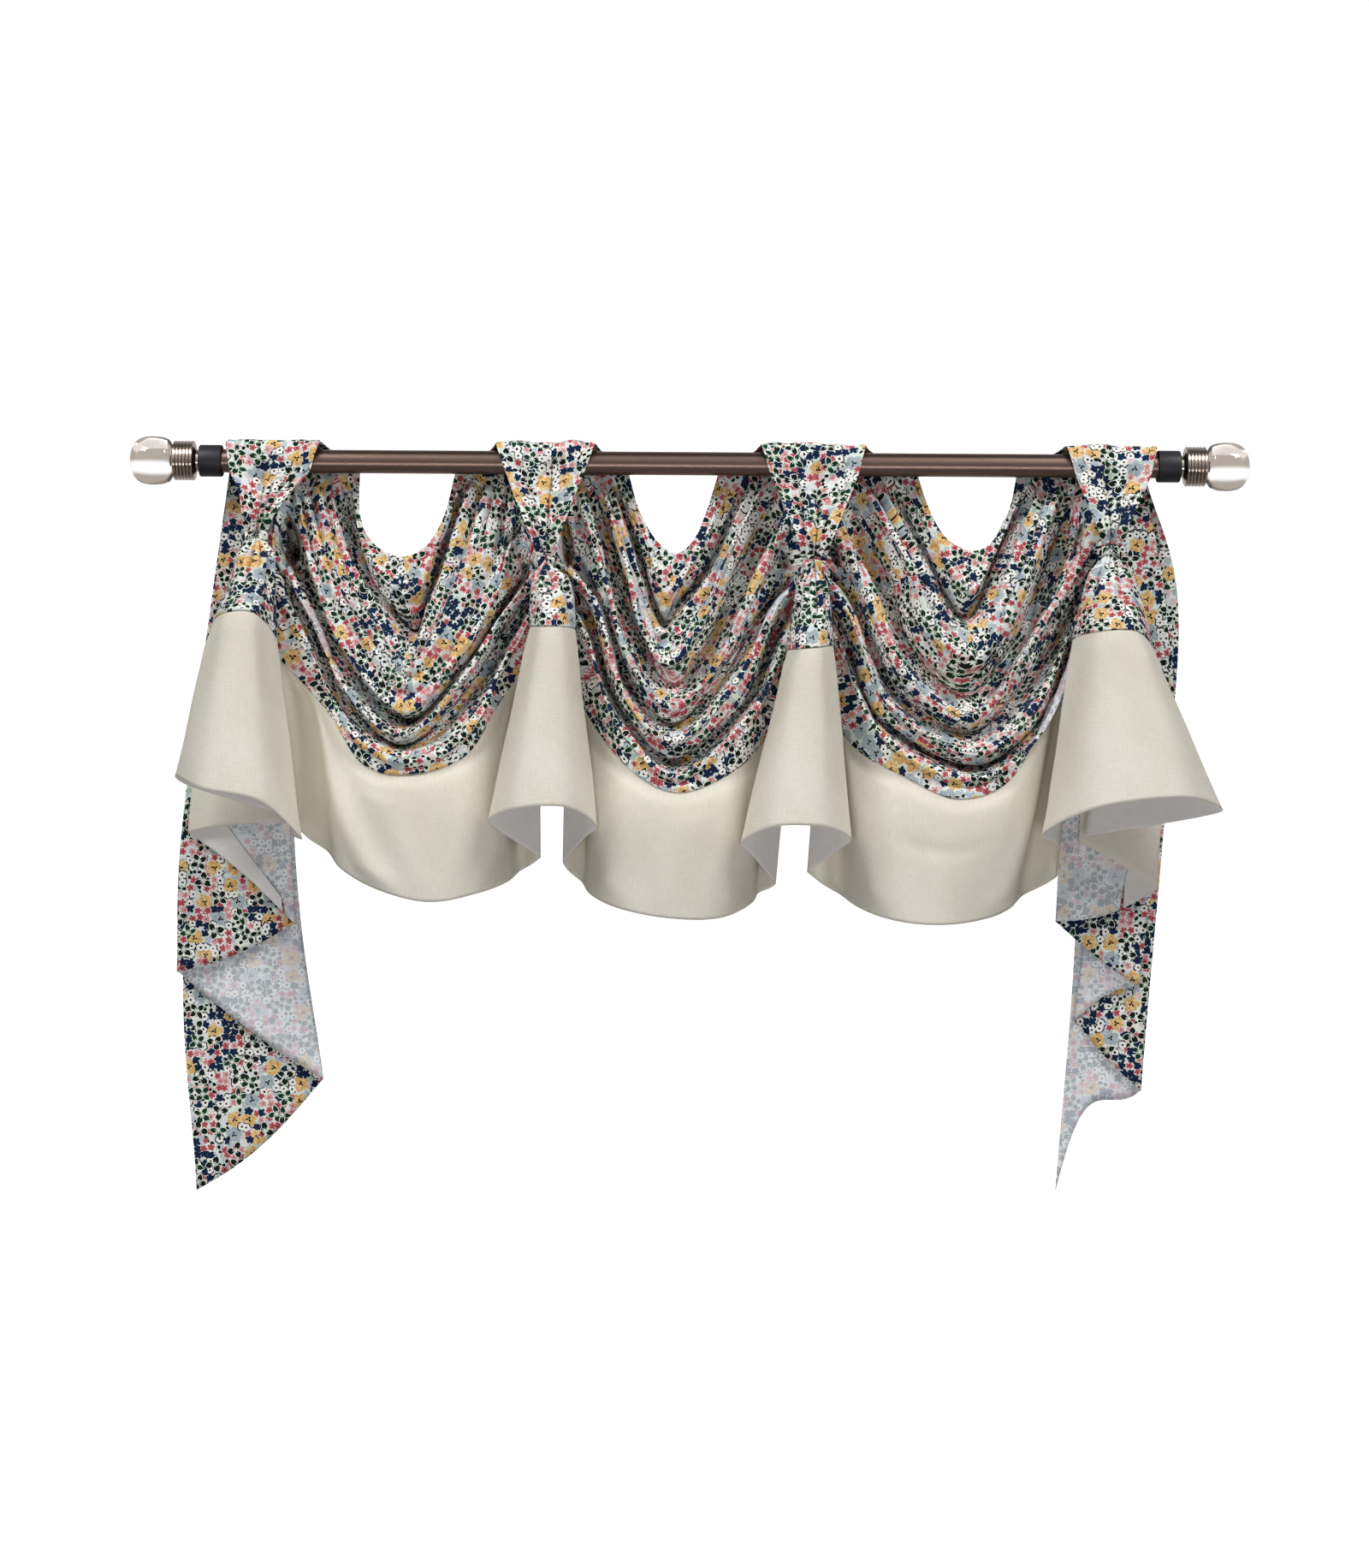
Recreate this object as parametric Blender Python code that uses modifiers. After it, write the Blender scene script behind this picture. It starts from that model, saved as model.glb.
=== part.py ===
"""A tab-top swag and tail drape on its rod: four straps, three swags, four horns and two tails.

Millimetres in the tables, metres in the scene. X runs along the rod, +Z is up, and the front faces -Y.
The origin is on the rod's axis at mid-length. Every cloth piece is a lofted sheet with Solidify on it.
"""

import math

import bmesh
import bpy
import numpy as np

MM = 0.001

# The rod and its ends
ROD_RADIUS = 12.5
ROD_HALF_LENGTH = 523.0
SLEEVE_INNER_X = 500.5
SLEEVE_OUTER_X = 524.5
SLEEVE_RADIUS = 17.0
BORE_GAP = 0.3
SPIGOT_RADIUS = 5.0
TURNED_SIDES = 32
# The turned end pieces at the right-hand end of the rod, as (x, radius). The neck has rings turned into it, each
# (x from the ring's start, radius), and the knob is bored for the neck's spigot.
NECK_INNER_END = [(523.6, 0), (523.6, 11.5), (528, 11.5), (530, 19)]
NECK_RINGS = 4
FIRST_RING_X = 530.0
RING_PITCH = 5.5
RING = [(1.2, 21.5), (3.4, 21.5), (5.0, 17.5)]
NECK_OUTER_END = [(552.6, 12), (552.6, SPIGOT_RADIUS), (562, SPIGOT_RADIUS), (562, 0)]
KNOB_BORE = [(562.4, 0), (562.4, SPIGOT_RADIUS + BORE_GAP), (553, SPIGOT_RADIUS + BORE_GAP)]
KNOB_BALL = [(553, 15), (557, 22), (564, 25), (574, 26), (584, 25), (592, 21), (597, 13), (599, 5), (599, 0)]

# The cloth
PRINT_THICK = 1.2
BAND_THICK = 1.4
SEAM_GAP = 1.45  # between the middles of two edges that are sewn together
TAIL_SEAM_GAP = 1.2
NECK_GAP = 0.5
NECK_SET_BACK = 3.2  # how far a swag's edge lies behind the edge of the horn that it is sewn to
SWAG_COLUMNS = 15
ROWS_PER_FOLD = 2
BAND_ROWS = 4
HORN_COLUMNS = 15
STRAP_COLUMNS = 9
TAIL_TURN_RADIUS = 4.0
# The columns of one layer of a tail: degrees round the turn, share of the straight, and whether it is
# measured from the layer's far side.
TAIL_TURNS = ((0, 0, False), (45, 0, False), (90, 0, False), (90, 0.5, False), (90, 0, True), (45, 0, True),
              (0, 0, True))
TAIL_ROWS = 7
TAIL_BAND_ROWS = 3

# Where the neck of each horn runs: the line where its two edges are sewn to the swags, from the gather
# down to the hem. Each side is (x, y, z) at the gather, the print's lower seam and the hem.
NECKS = {
    1: dict(left=[(-459, -17, -74), (-462, -4, -240), (-438, 4, -377)],
            right=[(-446, -17, -74), (-442, -8, -208), (-420, 8, -392)]),
    2: dict(left=[(-159, -17, -99), (-161, -8, -196), (-158, 10, -423)],
            right=[(-146, -17, -99), (-131, -6, -226), (-134, 10, -429)]),
    3: dict(left=[(127, -17, -101), (113, -6, -235), (95, 10, -450)],
            right=[(138, -17, -101), (142, -5, -249), (129, 10, -437)]),
    4: dict(left=[(442, -17, -83), (418, -6, -231), (398, 10, -440)],
            right=[(455, -17, -83), (451, -2, -262), (425, 4, -397)]),
}

# Each swag hangs from the backs of two straps. The path of its edge starts at the corner of the scoop,
# runs behind the rod, comes forward under it to the gather and goes on down the neck of the horn.
BACK_EDGES = {
    1: dict(left=[(-355, 16, -7.9), (-426, 18, -7.9), (-438, 6, -40)],
            right=[(-252, 16, -7.9), (-185, 18, -7.9), (-165, 6, -54)]),
    2: dict(left=[(-66, 16, -7.9), (-120, 18, -7.9), (-140, 6, -54)],
            right=[(31, 16, -7.9), (101, 18, -7.9), (119, 6, -54)]),
    3: dict(left=[(245, 16, -7.9), (165, 18, -7.9), (146, 6, -54)],
            right=[(352, 16, -7.9), (416, 18, -7.9), (435, 6, -44)]),
}
EDGE_STOPS = (0.0, 0.25, 0.4, 0.5, 1.0)

# The folds of each swag, from the scoop at the top to the seam. A row is one crest, valley or edge:
# left and right say how far down the edge path it starts, then five points across (x, z), then how far
# back (y) it lies at the left, in the middle and at the right.
SWAG_FOLDS = {
    1: [
        # left, outer left,  inner left,  bottom,  inner right,  outer right, right, y left, middle, right
        (0.00, (-355, -54), (-340, -86), (-311, -100), (-285, -90), (-265, -58), 0.00, 16, 13, 16),
        (0.04, (-356, -76), (-334, -119), (-301, -142), (-282, -116), (-262, -67), 0.04, 12, 6, 12),
        (0.09, (-357, -90), (-333, -136), (-296, -178), (-280, -135), (-260, -76), 0.05, 18, 16, 18),
        (0.14, (-366, -98), (-338, -149), (-297, -199), (-272, -145), (-249, -81), 0.09, 2, -10, 2),
        (0.21, (-385, -110), (-354, -167), (-298, -234), (-252, -172), (-225, -99), 0.17, -14, -26, -14),
        (0.30, (-402, -113), (-367, -199), (-302, -268), (-245, -208), (-199, -126), 0.27, -12, -28, -12),
        (0.46, (-404, -135), (-369, -205), (-302, -274), (-240, -213), (-196, -142), 0.48, 8, -8, 8),
        (0.55, (-402, -172), (-363, -245), (-302, -292), (-240, -231), (-196, -161), 0.55, -12, -34, -12),
        (0.60, (-397, -192), (-363, -258), (-304, -302), (-239, -250), (-196, -179), 0.62, 2, -20, 0),
        (0.72, (-399, -215), (-356, -290), (-296, -320), (-231, -283), (-194, -212), 0.75, -13, -44, -13),
        (1.00, (-387, -266), (-345, -324), (-294, -334), (-236, -314), (-201, -256), 1.00, -6, -38, -6),
    ],
    2: [
        (0.00, (-55, -46), (-37, -79), (-15, -95), (4, -81), (18, -50), 0.00, 16, 13, 16),
        (0.05, (-51, -76), (-35, -119), (-22, -140), (-4, -115), (20, -76), 0.05, 13, 6, 13),
        (0.08, (-51, -90), (-39, -140), (-26, -169), (-11, -145), (20, -104), 0.10, 18, 14, 18),
        (0.12, (-60, -104), (-43, -158), (-25, -185), (-2, -158), (31, -108), 0.15, 3, -6, 3),
        (0.16, (-64, -118), (-45, -185), (-20, -213), (10, -176), (42, -99), 0.20, -8, -20, -12),
        (0.20, (-74, -110), (-46, -186), (-16, -236), (19, -192), (53, -110), 0.26, 10, -6, 6),
        (0.28, (-89, -119), (-63, -204), (-18, -259), (35, -204), (74, -117), 0.36, -14, -30, -14),
        (0.44, (-99, -145), (-63, -231), (-15, -275), (37, -220), (81, -152), 0.50, -6, -18, 0),
        (0.52, (-104, -149), (-69, -249), (-13, -297), (53, -235), (92, -158), 0.56, -14, -38, -12),
        (0.58, (-107, -161), (-75, -258), (-17, -316), (58, -255), (98, -165), 0.62, 3, -22, 3),
        (0.72, (-111, -185), (-78, -272), (-13, -334), (65, -272), (105, -190), 0.74, -12, -44, -10),
        (1.00, (-98, -285), (-58, -331), (-12, -352), (37, -336), (76, -303), 1.00, -6, -42, -6),
    ],
    3: [
        (0.00, (258, -45), (276, -76), (303, -90), (325, -81), (344, -46), 0.00, 16, 13, 16),
        (0.05, (262, -72), (280, -115), (302, -135), (316, -119), (338, -72), 0.05, 12, 5, 13),
        (0.09, (256, -90), (276, -135), (297, -159), (315, -135), (336, -85), 0.08, 13, 12, 18),
        (0.14, (249, -99), (271, -149), (296, -179), (324, -149), (349, -90), 0.12, -2, -8, 2),
        (0.20, (235, -104), (260, -167), (296, -208), (331, -172), (364, -99), 0.19, -12, -22, -12),
        (0.28, (216, -119), (235, -185), (296, -246), (345, -195), (375, -134), 0.27, 6, -6, 14),
        (0.36, (195, -135), (231, -222), (298, -270), (347, -217), (389, -145), 0.45, -14, -32, -12),
        (0.50, (178, -145), (222, -240), (300, -284), (358, -235), (402, -165), 0.52, -4, -18, 12),
        (0.56, (171, -158), (215, -258), (301, -308), (365, -263), (407, -181), 0.60, -14, -40, -10),
        (0.62, (165, -176), (205, -272), (301, -320), (371, -274), (411, -195), 0.66, 0, -26, -2),
        (0.74, (165, -204), (204, -288), (301, -337), (374, -288), (411, -213), 0.76, -12, -44, -12),
        (1.00, (177, -302), (228, -333), (286, -357), (341, -337), (380, -274), 1.00, -6, -42, -6),
    ],
}

# The hem of each swag's cream band: seven points (x, z), the first and last on the necks, and its y.
BAND_HEMS = {
    1: [(-420, -392), (-390, -422), (-338, -452), (-276, -469), (-222, -460), (-181, -443), (-158, -423)],
    2: [(-134, -429), (-116, -454), (-72, -475), (-15, -485), (37, -484), (78, -465), (95, -450)],
    3: [(129, -437), (165, -465), (215, -485), (265, -490), (315, -484), (360, -467), (398, -440)],
}
BAND_HEM_Y = (10, 2, -35, -50, -35, 2, 10)

# The section of each horn at the gather, in the print, at the seam and at the hem:
# z of the left side, front left, front right and right side, x of the two sides, y of sides and front.
HORN_SECTIONS = {
    1: [(-75, -76, -76, -75, -463, -441, -24, -31),
        (-118, -120, -120, -120, -484, -440, -28, -46),
        (-177, -166, -166, -190, -506, -437, -30, -62),
        (-337, -351, -366, -411, -541, -399, -40, -92)],
    2: [(-100, -101, -101, -100, -164, -141, -24, -31),
        (-136, -138, -138, -136, -166, -133, -26, -44),
        (-177, -178, -178, -180, -169, -120, -28, -58),
        (-382, -370, -368, -388, -211, -97, -38, -86)],
    3: [(-102, -103, -103, -102, 121, 143, -24, -31),
        (-146, -148, -148, -146, 112, 149, -26, -44),
        (-201, -200, -198, -196, 104, 154, -28, -58),
        (-405, -387, -387, -400, 57, 173, -38, -86)],
    4: [(-84, -85, -85, -84, 437, 460, -24, -31),
        (-132, -130, -130, -140, 420, 478, -28, -48),
        (-187, -180, -180, -200, 407, 494, -30, -64),
        (-393, -365, -354, -365, 375, 564, -40, -94)],
}
FRONT_INSET = 0.27
SHOULDER_INSET = 0.1

# The straps from the gather at the front, up over the rod and down to the back: left and right edge (x)
# at the gather, half way up, at the rod's underside, on top and at the back, and z at the gather.
STRAPS = {
    1: dict(gather=(-464, -440), middle=(-484, -424), under=(-496, -398), top=(-499, -394), back=(-499, -372),
            low=-74.4),
    2: dict(gather=(-165, -140), middle=(-183, -127), under=(-197, -110), top=(-208, -98), back=(-228, -84),
            low=-99.4),
    3: dict(gather=(120, 144), middle=(107, 163), under=(90, 177), top=(80, 188), back=(56, 212), low=-101.4),
    4: dict(gather=(436, 461), middle=(425, 476), under=(413, 496), top=(402, 499), back=(376, 499), low=-83.4),
}
STRAP_PLEATS = 3
# The way a strap takes from the gather up over the rod and down its back. Below the rod at the front, z is given
# as a share of the gather's own depth. The pleats stand on the rod with their valleys.
STRAP_WAY = [
    # edges, y, z, share of depth, height of the pleats, how far the middle stands forward
    ("gather", -24.5, 0, 1.0, 0.8, 6.5),
    ("middle", -21, 0, 0.5, 2.0, 3.0),
    ("under", -18.5, -15, 0, 2.4, 0),
    ("under", -18.0, 4, 0, 3.0, 0),
    ("top", -11.5, 16.5, 0, 4.2, 0),
    ("top", 0, 19, 0, 5.4, 0),
    ("back", 11.5, 16, 0, 4.0, 0),
    ("back", 17.5, 3, 0, 2.2, 0),
    ("back", 17.6, -7, 0, 0.4, 0),
]

# The tails: each fold line from the back edge of the cascade to the front, or the other way for the right
# tail, as (x, y, z) at the rod, half way and at the hem.
TAILS = {
    1: [
        [(-498, 38, -4), (-547, 50, -504), (-533, 58, -789)],
        [(-440, 34, -4), (-426, 46, -432), (-395, 50, -666)],
        [(-497, 30, -4), (-546, 34, -380), (-553, 40, -550)],
        [(-438, 26, -4), (-432, 27, -330), (-425, 31, -496)],
        [(-495, 22, -4), (-527, 20, -270), (-539, 22, -399)],
        [(-436, 18, -4), (-432, 14, -260), (-432, 15, -388)],
    ],
    2: [
        [(433, 18, -4), (426, 14, -260), (422, 15, -404)],
        [(489, 22, -4), (517, 20, -185), (507, 22, -454)],
        [(435, 26, -4), (418, 26, -310), (400, 31, -489)],
        [(492, 30, -4), (530, 31, -175), (491, 40, -560)],
        [(437, 34, -4), (440, 40, -400), (422, 48, -598)],
        [(494, 38, -4), (529, 43, -180), (496, 55, -674)],
        [(439, 42, -4), (423, 52, -500), (404, 61, -784)],
    ],
}
# How far the hem between two fold lines bows below the straight line, and where the cream band starts:
# (place in fold lines from the first, z).
TAIL_HEM_BOWS = {1: (26, 6, 8, -6, -4), 2: (-4, 10, 4, -10, 4, -36)}
TAIL_BAND_SEAMS = {1: [(3.09, -470), (3.49, -410), (4.0, -326), (5.0, -262)],
                   2: [(0.0, -250), (1.0, -300), (1.35, -452)]}


def clear_scene():
    for obj in list(bpy.data.objects):
        bpy.data.objects.remove(obj)


def collection(name):
    made = bpy.data.collections.new(name)
    bpy.context.scene.collection.children.link(made)
    return made


def material(name, colour, roughness, metallic=0.0):
    made = bpy.data.materials.new(name)
    made.use_nodes = True
    shader = made.node_tree.nodes["Principled BSDF"]
    shader.inputs["Base Color"].default_value = (*colour, 1.0)
    shader.inputs["Roughness"].default_value = roughness
    shader.inputs["Metallic"].default_value = metallic
    return made


def spline(points, at):
    """A smooth curve through evenly spaced points: at runs from 0 at the first to 1 at the last."""
    points = np.asarray(points, float)
    spans = len(points) - 1
    place = np.clip(np.asarray(at, float), 0, 1) * spans
    index = np.minimum(place.astype(int), spans - 1)
    t = (place - index)[:, None]
    ends = np.vstack([2 * points[0] - points[1], points, 2 * points[-1] - points[-2]])
    before, start, end, after = (ends[index + k] for k in range(4))
    return 0.5 * (2 * start + (end - before) * t + (2 * before - 5 * start + 4 * end - after) * t**2
                  + (3 * start - before - 3 * end + after) * t**3)


def path(points, stops, at):
    """A point on the polyline whose corners lie at the given stops."""
    return np.array([np.interp(at, stops, [p[axis] for p in points]) for axis in range(3)])


def sheet(name, rows, thick, cloth, into):
    """A cloth solid from a grid of points: rows run down the cloth and columns across it."""
    rows = np.asarray(rows, float) * MM
    down, across = rows.shape[:2]
    mesh = bpy.data.meshes.new(name)
    shape = bmesh.new()
    corners = [[shape.verts.new(point) for point in row] for row in rows]
    for i in range(down - 1):
        for j in range(across - 1):
            shape.faces.new((corners[i][j], corners[i + 1][j], corners[i + 1][j + 1], corners[i][j + 1]))
    shape.to_mesh(mesh)
    shape.free()
    mesh.polygons.foreach_set("use_smooth", [True] * len(mesh.polygons))
    obj = bpy.data.objects.new(name, mesh)
    into.objects.link(obj)
    solid = obj.modifiers.new("Cloth thickness", "SOLIDIFY")
    solid.thickness = thick * MM
    solid.offset = 0.0
    obj.data.materials.append(cloth)
    return obj


def turned(name, profile, finish, into):
    """A solid turned about the X axis from a closed profile of (x, radius)."""
    ends = zip(profile, profile[1:] + profile[:1])
    if sum(x0 * r1 - x1 * r0 for (x0, r0), (x1, r1) in ends) < 0:
        profile = profile[::-1]
    mesh = bpy.data.meshes.new(name)
    shape = bmesh.new()
    corners = [shape.verts.new((radius * MM, 0, x * MM)) for x, radius in profile]
    for k, corner in enumerate(corners):
        shape.edges.new((corner, corners[(k + 1) % len(corners)]))
    shape.to_mesh(mesh)
    shape.free()
    obj = bpy.data.objects.new(name, mesh)
    into.objects.link(obj)
    screw = obj.modifiers.new("Turning", "SCREW")
    screw.axis = "Z"
    screw.steps = TURNED_SIDES
    screw.render_steps = TURNED_SIDES
    screw.use_merge_vertices = True
    screw.merge_threshold = 0.0001
    screw.use_smooth_shade = True
    obj.rotation_euler = (0, math.radians(90), 0)
    obj.data.materials.append(finish)
    return obj


def swag_edge(number, side):
    """The path of a swag's edge, from the scoop's corner to the seam at the neck."""
    horn = number if side == "left" else number + 1
    gather, seam, _ = NECKS[horn]["right" if side == "left" else "left"]
    return [*BACK_EDGES[number][side], gather, seam]


def swag_row(number, fold):
    left, outer_l, inner_l, bottom, inner_r, outer_r, right, y_left, y_middle, y_right = fold
    start = path(swag_edge(number, "left"), EDGE_STOPS, left)
    end = path(swag_edge(number, "right"), EDGE_STOPS, right)
    y_inner_l = y_middle + 0.3 * (y_left - y_middle)
    y_inner_r = y_middle + 0.3 * (y_right - y_middle)
    return [start, (outer_l[0], y_left, outer_l[1]), (inner_l[0], y_inner_l, inner_l[1]),
            (bottom[0], y_middle, bottom[1]), (inner_r[0], y_inner_r, inner_r[1]),
            (outer_r[0], y_right, outer_r[1]), end]


def inset_ends(points):
    """Sets the first and last column off from the seam lines at the necks, so that sewn pieces just clear."""
    points[:, 0] += (NECK_GAP, NECK_SET_BACK, 0)
    points[:, -1] += (-NECK_GAP, NECK_SET_BACK, 0)
    return points


def swag_print(number):
    across = np.linspace(0, 1, SWAG_COLUMNS)
    folds = [spline(swag_row(number, fold), across) for fold in SWAG_FOLDS[number]]
    down = np.linspace(0, 1, (len(folds) - 1) * ROWS_PER_FOLD + 1)
    grid = np.stack([spline([fold[j] for fold in folds], down) for j in range(SWAG_COLUMNS)], axis=1)
    return inset_ends(grid)


def swag_band(number, print_grid):
    across = np.linspace(0, 1, SWAG_COLUMNS)
    hem = spline([(x, y, z) for (x, z), y in zip(BAND_HEMS[number], BAND_HEM_Y)], across)
    hem = inset_ends(hem[None])[0]
    seam = print_grid[-1]
    fall = (hem - seam) / np.linalg.norm(hem - seam, axis=1)[:, None]
    start = seam + fall * SEAM_GAP
    return [start + (hem - start) * k / (BAND_ROWS - 1) for k in range(BAND_ROWS)]


def horn_section(number, row, down):
    """The points of one section, from the left neck round the front to the right neck."""
    z_left, z_front_l, z_front_r, z_right, x_left, x_right, y_side, y_front = row
    neck_l = spline(NECKS[number]["left"], [down])[0]
    neck_r = spline(NECKS[number]["right"], [down])[0]
    width = x_right - x_left
    shoulder_l = (x_left + SHOULDER_INSET * width, 0.7 * y_side + 0.3 * neck_l[1], 0.7 * z_left + 0.3 * neck_l[2])
    shoulder_r = (x_right - SHOULDER_INSET * width, 0.7 * y_side + 0.3 * neck_r[1],
                  0.7 * z_right + 0.3 * neck_r[2])
    return [neck_l, shoulder_l, (x_left, y_side, z_left), (x_left + FRONT_INSET * width, y_front, z_front_l),
            (x_right - FRONT_INSET * width, y_front, z_front_r), (x_right, y_side, z_right), shoulder_r, neck_r]


def horn(number):
    """The print and the band of a horn, as two grids that meet at the seam."""
    across = np.linspace(0, 1, HORN_COLUMNS)
    gather, middle, seam, hem = (
        spline(horn_section(number, row, down), across)
        for row, down in zip(HORN_SECTIONS[number], (0.0, 0.25, 0.5, 1.0))
    )
    upper = np.stack([spline([gather[j], middle[j], seam[j]], np.linspace(0, 1, 5))
                      for j in range(HORN_COLUMNS)], axis=1)
    fall = (hem - seam) / np.linalg.norm(hem - seam, axis=1)[:, None]
    start = seam + fall * SEAM_GAP
    lower = [start + (hem - start) * k / (BAND_ROWS - 1) for k in range(BAND_ROWS)]
    return upper, np.array(lower)


def strap(number):
    """A tab with soft lengthways pleats, flat where it is pinched and loose over the rod."""
    edges = STRAPS[number]
    rows = []
    for station, y, level, depth, swell, forward in STRAP_WAY:
        left, right = edges[station]
        z = level + depth * edges["low"]
        out = np.array([0, y, z]) / math.hypot(y, z) if z > 0 else np.array([0, math.copysign(1, y), 0])
        row = []
        for share in np.linspace(0, 1, STRAP_COLUMNS):
            wave = math.cos(2 * math.pi * STRAP_PLEATS * share)
            stand = forward * math.sin(math.pi * share)
            row.append(np.array([left + (right - left) * share, y - stand, z]) + out * swell * wave)
        rows.append(row)
    return rows[::-1]


def tail_lines(number):
    """Every column of a tail before the band is cut from it: its place, and its points from rod to hem.

    The layers lie flat behind each other, and the cloth makes a round turn from one to the next.
    """
    lines = np.array(TAILS[number], float)
    places, columns = [], []
    for layer in range(len(lines) - 1):
        near, far = lines[layer], lines[layer + 1]
        level = (near[:, 1] + far[:, 1]) / 2
        away = np.sign(far[-1, 0] - near[-1, 0])
        last = layer == len(lines) - 2
        for turned, straight, from_far in TAIL_TURNS if last else TAIL_TURNS[:-1]:
            start, end = (far, near) if from_far else (near, far)
            along = -away if from_far else away
            angle = math.radians(turned)
            line = start.copy()
            line[:, 0] += along * TAIL_TURN_RADIUS * (1 - math.cos(angle))
            line[:, 0] += straight * (end[:, 0] - start[:, 0] - 2 * along * TAIL_TURN_RADIUS)
            free = (layer == 0 and not from_far) or (last and from_far)
            line[:, 1] = level if free else start[:, 1] + (level - start[:, 1]) * math.sin(angle)
            sideways = (line[-1, 0] - near[-1, 0]) / (far[-1, 0] - near[-1, 0])
            line[:, 2] = near[:, 2] + (far[:, 2] - near[:, 2]) * sideways
            line[-1, 2] -= TAIL_HEM_BOWS[number][layer] * math.sin(math.pi * sideways)
            places.append(layer + sideways)
            columns.append(line)
    return places, columns


def tail(number):
    """The print and the cream end of a tail, as two grids."""
    places, columns = tail_lines(number)
    seam = TAIL_BAND_SEAMS[number]
    cuts = np.interp(places, [place for place, _ in seam], [z for _, z in seam])
    upper, lower = [], []
    for index, line in enumerate(columns):
        top, hem = line[0][2], line[-1][2]
        middle = (top - line[1][2]) / (top - hem)
        banded = seam[0][0] <= places[index] <= seam[-1][0]
        ends = (top - cuts[index]) / (top - hem) if banded else 1.0

        def at(down):
            return spline(line, [np.interp(down, [0, middle, 1], [0, 0.5, 1])])[0]

        upper.append([at(down) for down in np.linspace(0, ends, TAIL_ROWS)])
        if banded:
            beside = [k for k in (index - 1, index + 1) if 0 <= k <= len(columns) - 1]
            slope = max(abs(cuts[k] - cuts[index]) / np.linalg.norm((columns[k][1] - line[1])[:2]) for k in beside)
            start = ends + TAIL_SEAM_GAP * math.hypot(1, slope) / (top - hem)
            lower.append([at(down) for down in np.linspace(start, 1, TAIL_BAND_ROWS)])
    return np.swapaxes(upper, 0, 1), np.swapaxes(lower, 0, 1)


def build_rod(into):
    bronze = material("Brushed bronze", (0.24, 0.19, 0.17), 0.35, 1.0)
    dark = material("Dark sleeve", (0.03, 0.03, 0.035), 0.6)
    nickel = material("Turned nickel", (0.55, 0.52, 0.5), 0.25, 1.0)
    glass = material("Clear glass", (0.9, 0.92, 0.92), 0.05)
    half, radius = ROD_HALF_LENGTH, ROD_RADIUS
    turned("rod", [(-half, 0), (-half, radius), (half, radius), (half, 0)], bronze, into)
    for side, word in ((-1, "left"), (1, "right")):
        bore = ROD_RADIUS + BORE_GAP
        sleeve = [(SLEEVE_INNER_X, bore), (SLEEVE_INNER_X, SLEEVE_RADIUS), (SLEEVE_OUTER_X, SLEEVE_RADIUS),
                  (SLEEVE_OUTER_X, bore)]
        rings = [(FIRST_RING_X + ring * RING_PITCH + x, r) for ring in range(NECK_RINGS) for x, r in RING]
        neck = NECK_INNER_END + rings + NECK_OUTER_END
        knob = KNOB_BORE + KNOB_BALL
        for name, profile, finish in (("sleeve", sleeve, dark), ("finial_neck", neck, nickel),
                                      ("finial_knob", knob, glass)):
            turned(f"{name}_{word}", [(side * x, r) for x, r in profile], finish, into)


def build_cloth(into):
    print_cloth = material("Print cotton", (0.52, 0.55, 0.51), 0.85)
    cream_cloth = material("Cream cotton", (0.8, 0.76, 0.66), 0.85)
    for number in SWAG_FOLDS:
        upper = swag_print(number)
        sheet(f"swag_{number}_print", upper, PRINT_THICK, print_cloth, into)
        sheet(f"swag_{number}_band", swag_band(number, upper), BAND_THICK, cream_cloth, into)
    for number in HORN_SECTIONS:
        upper, lower = horn(number)
        sheet(f"horn_{number}_print", upper, PRINT_THICK, print_cloth, into)
        sheet(f"horn_{number}_band", lower, BAND_THICK, cream_cloth, into)
        sheet(f"strap_{number}", strap(number), PRINT_THICK, print_cloth, into)
    for number in TAILS:
        upper, lower = tail(number)
        sheet(f"tail_{number}_print", upper, PRINT_THICK, print_cloth, into)
        sheet(f"tail_{number}_band", lower, BAND_THICK, cream_cloth, into)


clear_scene()
drape = collection("Swag and tail drape")
build_rod(drape)
build_cloth(drape)
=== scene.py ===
# %% [markdown]
# # A swag and tail drape on its rod
#
# This window drape is sewn from a small flower print and a plain cream cotton. Four straps go over a
# round rod. Below each strap the cloth is pinched and opens into a horn, three swags hang between the
# horns, and a zigzag tail hangs behind each outer horn. One cream band runs along the hem of the whole
# drape.
#
# The construction is already packed as a fixed frame. Here every plain solid gets its finished piece:
# fine sheets on the same fold lines, turned metal and glass, and procedural finishes. The folds are
# placed one by one from short tables, because the drape's look is in where each fold starts and ends.

import math

import bmesh
import bpy
import numpy as np
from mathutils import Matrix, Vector, noise
from mathutils.bvhtree import BVHTree


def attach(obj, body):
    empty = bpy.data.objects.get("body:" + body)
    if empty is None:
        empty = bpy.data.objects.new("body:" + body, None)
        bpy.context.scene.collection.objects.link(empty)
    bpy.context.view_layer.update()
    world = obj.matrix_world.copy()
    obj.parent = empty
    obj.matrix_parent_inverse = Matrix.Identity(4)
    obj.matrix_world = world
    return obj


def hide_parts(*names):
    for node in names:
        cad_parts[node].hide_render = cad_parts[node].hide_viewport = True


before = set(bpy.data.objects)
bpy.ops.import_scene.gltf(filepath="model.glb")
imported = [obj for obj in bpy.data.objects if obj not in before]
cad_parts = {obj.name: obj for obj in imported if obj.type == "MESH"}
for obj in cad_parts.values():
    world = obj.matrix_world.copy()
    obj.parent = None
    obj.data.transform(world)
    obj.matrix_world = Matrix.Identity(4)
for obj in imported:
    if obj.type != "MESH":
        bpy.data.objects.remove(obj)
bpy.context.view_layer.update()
MM = 0.001

# %% [markdown]
# ## The camera
#
# The drape is seen straight on from some metres away, with a long lens, so that the rod is nearly level
# and the swags aren't distorted. The lens follows from the distance and from how tall a piece of the
# drape's plane the picture takes in, which is easier to judge than millimetres of focal length.

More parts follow.
